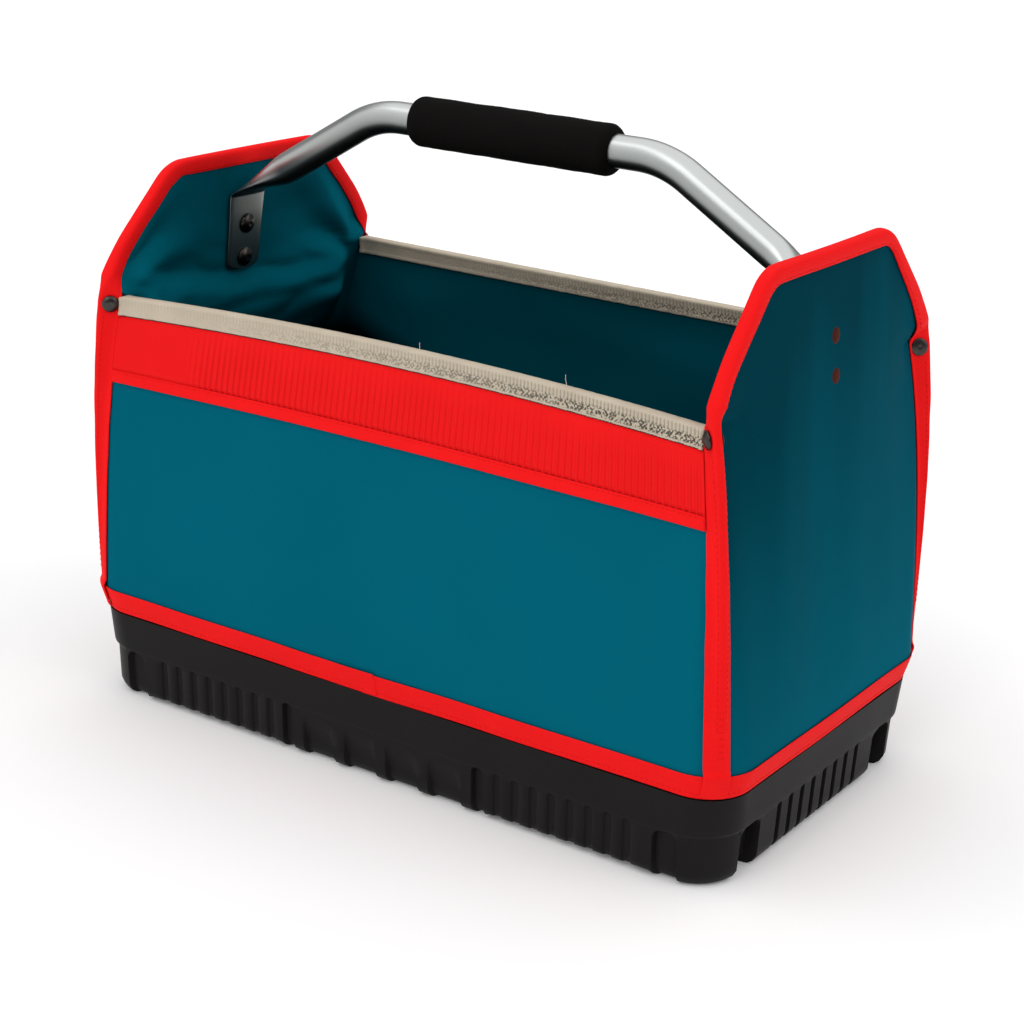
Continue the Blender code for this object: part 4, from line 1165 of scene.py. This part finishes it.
# %% List the grooves
TRAY_TOP, RIB_TOP, FLANGE_TOP = 0.0607, 0.034, 0.075
TRAY_Z = np.array((0, 0.0025, 0.007, 0.0337, 0.036, 0.0607))
TRAY_ALONG = np.array((0.0137, 0.0102, 0.0076, 0.0064, 0.0046, 0.0031))
TRAY_ACROSS = np.array((0.0127, 0.0087, 0.0059, 0.0046, 0.0040, 0.0029))
TRAY_TIGHTER = np.array((0.006, 0.002, -0.001, -0.002, 0, 0.0025))
NARROW, NARROW_CROWN, WIDE, WIDE_CROWN = 0.0049, 0.0016, 0.0236, 0.0049
SHALLOW, MIDDLE_DEPTH, FRONT_NOTCH, GROOVE_DEPTH, NOTCH_DEPTH = 0.0014, 0.0032, 0.0036, 0.0050, 0.0085
NARROW_FROM, NARROW_PITCH, WIDE_PITCH, END_PITCH, END_NARROW = 0.084, 0.0134, 0.0336, 0.0150, 0.0042
SINGLE_AT, SINGLE = 0.0760, 0.0076
NOTCH_AT, NOTCH, END_NOTCH_AT, END_NOTCH = 0.21075, 0.0155, 0.0885, 0.0230


def mirrored(middle, *form):
    """The same groove on both sides of the middle: where, how wide, how arched and how deep."""
    return [(s * middle, *form) for s in (-1, 1)]


front_grooves = mirrored(SINGLE_AT, SINGLE, NARROW_CROWN, MIDDLE_DEPTH)
front_grooves += mirrored(NOTCH_AT, NOTCH, WIDE_CROWN, FRONT_NOTCH)
for k in range(8):
    front_grooves += mirrored(NARROW_FROM + NARROW_PITCH * (k + 0.5), NARROW, NARROW_CROWN, SHALLOW)
for k in range(2):
    front_grooves += mirrored(WIDE_PITCH * (k + 0.5), WIDE, WIDE_CROWN, MIDDLE_DEPTH)
end_grooves = mirrored(END_NOTCH_AT, END_NOTCH, WIDE_CROWN, NOTCH_DEPTH)
for k in range(4):
    end_grooves += mirrored(END_PITCH * (k + 0.5), END_NARROW, NARROW_CROWN, GROOVE_DEPTH)
print("grooves on each long side:", len(front_grooves), "and on each end:", len(end_grooves))

# %% Lay out the columns of the tray
SOFT_EDGE, NEAREST, COLUMN_STEP, TRAY_R = 0.0007, 0.0016, 0.003, BASE_CORNER + 0.002
TRAY_CX = BASE_HALF_LENGTH - TRAY_ALONG[3] - TRAY_R
TRAY_CY = BASE_HALF_WIDTH - TRAY_ACROSS[3] - TRAY_R
RAISED_FROM, RAISED_TO, RAISED_SLOPE = 0.0798, 0.2030, 0.0012


def side_marks(half, grooves):
    """Places of the columns: evenly spread, closer round the corners and at the groove edges."""
    marks = {round(float(m), 5) for m in np.linspace(-half, half, int(half / COLUMN_STEP))}
    turns = [half + TRAY_R * math.sin(t) for t in np.radians(range(3, 46, 3))]
    marks |= {round(s * m, 5) for s in (-1, 1) for m in turns}
    edges = [c + s * w / 2 for c, w, _, _ in grooves for s in (-1, 1)]
    marks -= {m for m in marks for e in edges if abs(m - e) < NEAREST and abs(m) < half + TRAY_R * 0.7}
    for middle, width, _, _ in grooves:
        for s in (-1, 1):
            marks |= {round(middle + s * (width / 2 + k * SOFT_EDGE), 5) for k in (1.0, 0.35, -0.35, -1.0)}
            marks |= {round(middle + s * width * k, 5) for k in (0.12, 0.3)}
    return sorted(marks)


def side_columns(half, grooves):
    """At each place the groove depth, the height of the groove's arch and whether it fades out."""
    columns = []
    for m in side_marks(half, grooves):
        deep, arch, fading = 0.0, RIB_TOP - NARROW_CROWN, 0.0
        for middle, width, crown, depth in grooves:
            inside = width / 2 - abs(m - middle)
            if inside > -SOFT_EDGE * 1.1:
                deep = max(deep, depth * float(ease((inside + SOFT_EDGE) / (2 * SOFT_EDGE))))
                part = min(abs(m - middle) / (width / 2), 1)
                arch = RIB_TOP - crown + crown * math.sqrt(1 - part * part)
                fading = float(width == WIDE)
        columns.append((m, deep, arch, fading))
    return columns


tray_columns = []
for k in range(4):
    long_side, base = k % 2 == 0, math.pi / 2 * (k - 1)
    half, grooves = (TRAY_CX, front_grooves) if long_side else (TRAY_CY, end_grooves)
    for m, deep, arch, fading in side_columns(half, grooves)[:-1]:
        lean = math.asin(min(max((abs(m) - half) / TRAY_R, 0), 1)) * (1 if m > 0 else -1)
        along = min(max(m / half, -1), 1)
        ex, ey = ((along, -1), (1, along), (-along, 1), (-1, -along))[k]
        sides = (abs(m) - RAISED_FROM, RAISED_TO - abs(m))
        raised = float(ease(sides[0] / RAISED_SLOPE) * ease(sides[1] / RAISED_SLOPE))
        way = (math.cos(base + lean), math.sin(base + lean))
        tray_columns.append((ex, ey, *way, deep, arch, raised if long_side else 0.0, fading))
print("tray columns:", len(tray_columns))

# %% Loft the tray
EX, EY, NX, NY, DEEP, ARCH, RAISED, FADING = np.array(tray_columns).T
RAISED_EDGE, SCALLOP, ARCH_START, BOARD_SEAT, FADE_FROM, FADE_RUN = 0.004, 0.6, 0.0012, 0.0466, 0.42, 0.55
FEET_INNER, FEET_OUTER = (0.0315, 0.0305, 0.008), (0.0175, 0.0165, 0.007)
POCKET = ((0.0472, 0.0472, 0.012, 0.003), (0.0462, 0.0462, 0.011, 0.0), (0.034, 0.033, 0.009, 0.0))
RISES = (0, 0.0007, 0.0016, 0.0025, 0.0045, 0.007, 0.011, 0.016, 0.021, 0.026, 0.0285)
CROWN_ROWS = ((-1, 1), (-0.35, 0.78), (0.35, 0.22), (1, 0))
COLLAR = (0.0352, 0.0358, 0.0368, 0.042, 0.050, 0.0600, 0.0607)
INSIDE = ((0.0152, 0.0144, 0.008, 0.0363), (0.0162, 0.0152, 0.010, 0.008))


def plan_ring(along, across, tighter, z, cut=0.0):
    r = BASE_CORNER - tighter
    cx, cy = BASE_HALF_LENGTH - along - r, BASE_HALF_WIDTH - across - r
    return points(EX * cx + NX * (r - cut), EY * cy + NY * (r - cut), z)


def outer_ring(z, groove):
    insets = [np.interp(z, TRAY_Z, table) for table in (TRAY_ALONG, TRAY_ACROSS, TRAY_TIGHTER)]
    return plan_ring(*insets, z, DEEP * groove)


def fitted_ring(z, d):
    """A ring inside the walls of the bag, at the depth d below the outside of the cloth."""
    cx, cy, r = centre(z, d)
    return points(EX * cx + NX * r, EY * cy + NY * r, z)


low_edge = RAISED * RAISED_EDGE
rings = [plan_ring(*place) for place in POCKET]
rings.append(plan_ring(*FEET_INNER, low_edge))
rings.append(plan_ring(*FEET_OUTER, low_edge, DEEP * SCALLOP))
for share in np.array(RISES) / RISES[-1]:
    heights = low_edge + (ARCH - ARCH_START - low_edge) * share
    rings.append(outer_ring(heights, 1 - FADING * float(ease((share - FADE_FROM) / FADE_RUN))))
rings += [outer_ring(ARCH + lift * SOFT_EDGE, groove * (1 - FADING)) for lift, groove in CROWN_ROWS]
rings += [outer_ring(np.full(len(EX), z), 0) for z in COLLAR]
rings += [fitted_ring(z, SHELL + GAP) for z in (TRAY_TOP, BAND_LOW, FLANGE_TOP)]
rings += [fitted_ring(z, SHELL + GAP + BOARD) for z in (FLANGE_TOP, BAND_LOW, TRAY_TOP, BOARD_SEAT)]
rings += [fitted_ring(BOARD_SEAT, WALL + GAP)] + [plan_ring(*place) for place in INSIDE]
ring_piece("moulded_tray", rings, tray_black, "base_tray", sharp=50)

# %% [markdown]
# ## Handle
# A drawn alloy tube is bent twice, and each end is pressed flat, folded down and riveted to the
# end wall. It is one loft whose section changes from a circle to a flat bar. The foam grip is a
# turned sleeve with soft ends and small dents from use.

# %% Draw the tube
TUBE, FLAT, FOLD_HALF, TUBE_SIDES = 0.0105, 0.0015, 0.0175, 48
TUBE_HEIGHT, BEND, SLANT = 0.400, 0.070, math.radians(30.7)
FOLD_HEIGHT, FOLD_RADIUS, FLATTEN, TAB_LENGTH = 0.3332, 0.0045, 0.044, 0.0544
TAB_WIDTHS = ((0.2, 0.98), (0.35, 0.955), (0.62, 0.943), (0.86, 0.943), (0.91, 0.93), (0.95, 0.86),
              (0.98, 0.72), (0.995, 0.55), (1.0, 0.4))
tab_lean = math.atan(LEAN)
tab_turn = math.pi / 2 - tab_lean
fold_x = float(end_middle(FOLD_HEIGHT)) - WALL - GAP - FLAT / math.cos(tab_lean)
bend_x = fold_x - (TUBE_HEIGHT - FOLD_HEIGHT) / math.tan(SLANT)
bend_from = bend_x - BEND * math.tan(SLANT / 2)
fold_reach = FOLD_RADIUS * math.tan((tab_turn - SLANT) / 2)
along_slant = np.array((math.cos(SLANT), -math.sin(SLANT)))
along_tab = np.array((math.sin(tab_lean), -math.cos(tab_lean)))
fold_spot = np.array((fold_x, FOLD_HEIGHT))
begin = fold_spot - along_slant * fold_reach

# Each station is a place, the turn of the tube there and how flat it is.
route = [(x, TUBE_HEIGHT, 0, 0) for x in np.linspace(0, bend_from, 8)[:-1]]
for turn in np.linspace(0, SLANT, 14):
    route.append((bend_from + BEND * math.sin(turn), TUBE_HEIGHT - BEND * (1 - math.cos(turn)), turn, 0))
gone = math.hypot(route[-1][0] - fold_x, route[-1][1] - FOLD_HEIGHT)
for back in np.linspace(gone, FLATTEN, 6)[1:-1]:
    route.append((*(fold_spot - along_slant * back), SLANT, 0))
for share in np.linspace(0, 1, 16):
    route.append((*(fold_spot - along_slant * mix(FLATTEN, fold_reach, share)), SLANT, float(ease(share))))
for turn in np.linspace(SLANT, tab_turn, 8)[1:]:
    arc = np.array((math.sin(turn) - math.sin(SLANT), math.cos(turn) - math.cos(SLANT))) * FOLD_RADIUS
    route.append((*(begin + arc), turn, 1))
for share, wide in TAB_WIDTHS:
    route.append((*(fold_spot + along_tab * TAB_LENGTH * share), tab_turn, 1, wide))


def tube_ring(x, z, turn, flatness, wide=1.0):
    half_wide, half_thick = mix(TUBE, FOLD_HALF, flatness) * wide, mix(TUBE, FLAT, flatness)
    normal, ring = np.array((math.sin(turn), 0, math.cos(turn))), []
    for c, s in around(TUBE_SIDES):
        a = math.copysign(abs(c) ** mix(1, 0.5, flatness), c) * half_thick
        b = math.copysign(abs(s) ** mix(1, 0.75, flatness), s) * half_wide
        ring.append(np.array((x, b, z)) + normal * a)
    return ring


right_half = [tube_ring(*station) for station in route]
left_half = [[p * (-1, 1, 1) for p in ring] for ring in right_half[:0:-1]]
ring_piece("alloy_tube", left_half + right_half, alloy, "handle_tube", sharp=60)

# %% Turn the foam grip
GRIP, GRIP_HALF, GRIP_SHIFT, GRIP_ROUND, GRIP_SIDES, ROUND_DONE = 0.0161, 0.0755, 0.0018, 0.0058, 56, 0.008
DENT, PORE = 0.00045, 0.00016
profile = [(-GRIP_HALF, TUBE + GAP), (-GRIP_HALF, GRIP - GRIP_ROUND)]
for t in np.linspace(0.15, math.pi / 2, 8):
    profile.append((-GRIP_HALF + GRIP_ROUND * (1 - math.cos(t)), GRIP - GRIP_ROUND * (1 - math.sin(t))))
profile += [(reach, GRIP) for reach in np.linspace(-GRIP_HALF + ROUND_DONE, 0, 40)]
profile += [(-reach, size) for reach, size in profile[-2::-1]]


def dented(reach, c, s):
    """Shallow dents from hands, with small pores over them."""
    dent = noise.noise(Vector((reach * 55, c * 1.2, s * 1.2))) * DENT
    return dent + noise.noise(Vector((reach * 260, c * 5, s * 5))) * PORE


rings = []
for reach, size in profile:
    ring = []
    for c, s in around(GRIP_SIDES):
        width = size + (dented(reach, c, s) if size > TUBE + 0.002 else 0)
        ring.append((reach - GRIP_SHIFT, width * s, TUBE_HEIGHT + width * c))
    rings.append(ring)
padded_grip = ring_piece("foam_sleeve", rings, foam, "handle_grip", looped=True)

# %% [markdown]
# ## Rivets
# Two rivets hold each tab: a round head shows on the tab and a small cap on the outside. One
# more rivet pins each corner seam just under the rim. Each is a turned profile with a rolled
# edge and a shallow dimple, finer than the CAD solid that it stands for.

# %% Turn the rivets
RIVET_SIDES, SHANK, SHORT_SHANK = 28, 0.0024, 0.0018
HEAD_RISE, HEAD_RADIUS, CAP_RISE, CAP_RADIUS = 0.0035, 0.0070, 0.0011, 0.0055
ROLLED = ((0, 0.97), (0.10, 1), (0.24, 0.99))
DIMPLE = ((0.965, 0.26), (0.90, 0.16))
DIMPLE_DEPTH, DIMPLE_MIDDLE = 0.88, 0.00005
INNER_SEAT = WALL + 2 * GAP + 2 * FLAT


def turned(name, origin, axis, side, profile, finish, *replaced):
    third, rings = axis.cross(side), []
    for reach, radius in profile:
        spokes = [side * c + third * s for c, s in around(RIVET_SIDES)]
        rings.append([origin + axis * reach + spoke * radius for spoke in spokes])
    return ring_piece(name, rings, finish, *replaced, sharp=50)


def head(base, rise, radius):
    """A domed head with a rolled edge and a small dimple, from its seat to its crown."""
    edge = [(base + rise * up, radius * out) for up, out in ROLLED]
    crown = [(base + rise * math.sin(t), radius * math.cos(t)) for t in np.radians((24, 36, 48, 58, 67))]
    dimple = [(base + rise * up, radius * out) for up, out in DIMPLE]
    return edge + crown + dimple + [(base + rise * DIMPLE_DEPTH, DIMPLE_MIDDLE)]


def flipped(profile):
    return [(-reach, radius) for reach, radius in profile[::-1]]


for sign, side in ((1, "right"), (-1, "left")):
    axis, across = Vector((sign * math.cos(tab_lean), 0, math.sin(tab_lean))), Vector((0, 1, 0))
    for level, drop in (("upper", 0.0212), ("lower", 0.0452)):
        z, name = FOLD_HEIGHT - drop, f"{side}_{level}"
        origin = Vector((sign * float(end_middle(z)), 0, z))
        inner = flipped(head(INNER_SEAT, HEAD_RISE, HEAD_RADIUS)) + [(-INNER_SEAT, SHANK), (-WALL / 2, SHANK)]
        turned(name + "_rivet", origin, axis, across, inner, gunmetal, name + "_handle_rivet")
        cap = [(-WALL / 2 + GAP, SHANK), (GAP, SHANK)] + head(GAP, CAP_RISE, CAP_RADIUS)
        turned(name + "_cap", origin, axis, across, cap, rust_cap)

# %% Rivet the corner seams
PIN_HEIGHT, PIN, PIN_RISE, PIN_OUT, PIN_SUNK = 0.2785, 0.0057, 0.0032, 0.0035, 0.0004
LOW_RISE, LOW_RADIUS = 0.4, {"front": 0.7, "rear": 1.0}
for x_sign, side in ((1, "right"), (-1, "left")):
    for y_sign, end in ((-1, "front"), (1, "rear")):
        lower, upper = (Vector((x_sign * float(half_length(z)), y_sign * float(half_width(z)), z))
                        for z in (PIN_HEIGHT - PIN, PIN_HEIGHT))
        out = Vector((x_sign, y_sign, 0)).normalized()
        across = out.cross(upper - lower).normalized()
        seat = float(fin_half(PIN_HEIGHT - PIN)) + GAP - PIN_SUNK
        domed, low = head(seat, PIN_RISE, PIN), head(seat, PIN_RISE * LOW_RISE, PIN * LOW_RADIUS[end])
        left, right = (low, domed) if across.y * y_sign > 0 else (domed, low)
        profile = flipped(left) + [(-seat, SHORT_SHANK), (seat, SHORT_SHANK)] + right
        place = upper + out * PIN_OUT
        turned(f"{end}_{side}_pin", place, across, out, profile, gunmetal, f"{end}_{side}_corner_rivet")

# %% [markdown]
# ## Finish what stays from the CAD model
# The floor board and the two rim wires are right as they are, so they only change their finish.
# The shell is four walls in a row, about 1.5 m round, with higher ends, and the boards hold it
# stretched.

# %% Give the carried-over nodes their finish
KEPT = {"base_board": board_black, "front_rim_wire": steel_wire, "rear_rim_wire": steel_wire}
for node, finish in KEPT.items():
    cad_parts[node].data.materials.clear()
    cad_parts[node].data.materials.append(finish.material)
print("carried over:", list(KEPT))

# %% [markdown]
# ## Floor and light
# The picture shows the bag on plain white. A pale floor, which glows a little itself, catches a
# faint shadow. Four wide soft suns light the bag: one from the front left, one from the front,
# a still softer one from above, which keeps the floor white, and a weak one from the right. So
# the front is brighter than the right end. The plain view transform keeps the red and the teal
# as strong as they are in the picture.

# %% Lay the floor
FLOOR_HALF, GLOW = 6, 0.08
bm = bmesh.new()
bmesh.ops.create_grid(bm, x_segments=1, y_segments=1, size=FLOOR_HALF)
floor_mesh = bpy.data.meshes.new("floor")
bm.to_mesh(floor_mesh)
bm.free()
floor = bpy.data.objects.new("floor", floor_mesh)
bpy.context.scene.collection.objects.link(floor)
paper = Finish("paper", "floor")
paper.surface(Base_Color=(0.92, 0.92, 0.92, 1), Roughness=paper.cloud(0.3) * 0.05 + 0.85,
              Specular_IOR_Level=0.1, Emission_Color=(1, 1, 1, 1), Emission_Strength=GLOW)
floor_mesh.materials.append(paper.material)
floor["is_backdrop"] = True
print("floor:", 2 * FLOOR_HALF, "m wide")

# %% Set the lights
LIGHTS = (("key", (-0.80, -0.95, 0.60), 75, 0.95), ("front", (0.03, -0.78, 0.64), 34, 0.42),
          ("top", (0.05, 0.12, 1.0), 105, 1.90), ("side", (0.95, 0.25, 0.45), 40, 0.50))
for name, place, wide, power in LIGHTS:
    data = bpy.data.lights.new(name, "SUN")
    data.angle, data.energy = math.radians(wide), power
    light = bpy.data.objects.new(name, data)
    bpy.context.scene.collection.objects.link(light)
    way = Vector(place).to_track_quat("Z", "Y")
    light.matrix_world = Matrix.Translation(Vector(place) * 3) @ way.to_matrix().to_4x4()
world = bpy.data.worlds.new("studio")
world.use_nodes = True
sky = world.node_tree.nodes["Background"].inputs
sky["Color"].default_value = (1, 1, 1, 1)
sky["Strength"].default_value = 0.25
bpy.context.scene.world = world
bpy.context.scene.view_settings.view_transform = "Standard"
print("lights:", [name for name, *_ in LIGHTS])

# %% [markdown]
# ## Size
# The box of the dressed bag is printed in millimetres.

# %% Print the size
low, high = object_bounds()
print("visual box, mm:", [round(1000 * (b - a), 1) for a, b in zip(low, high)])
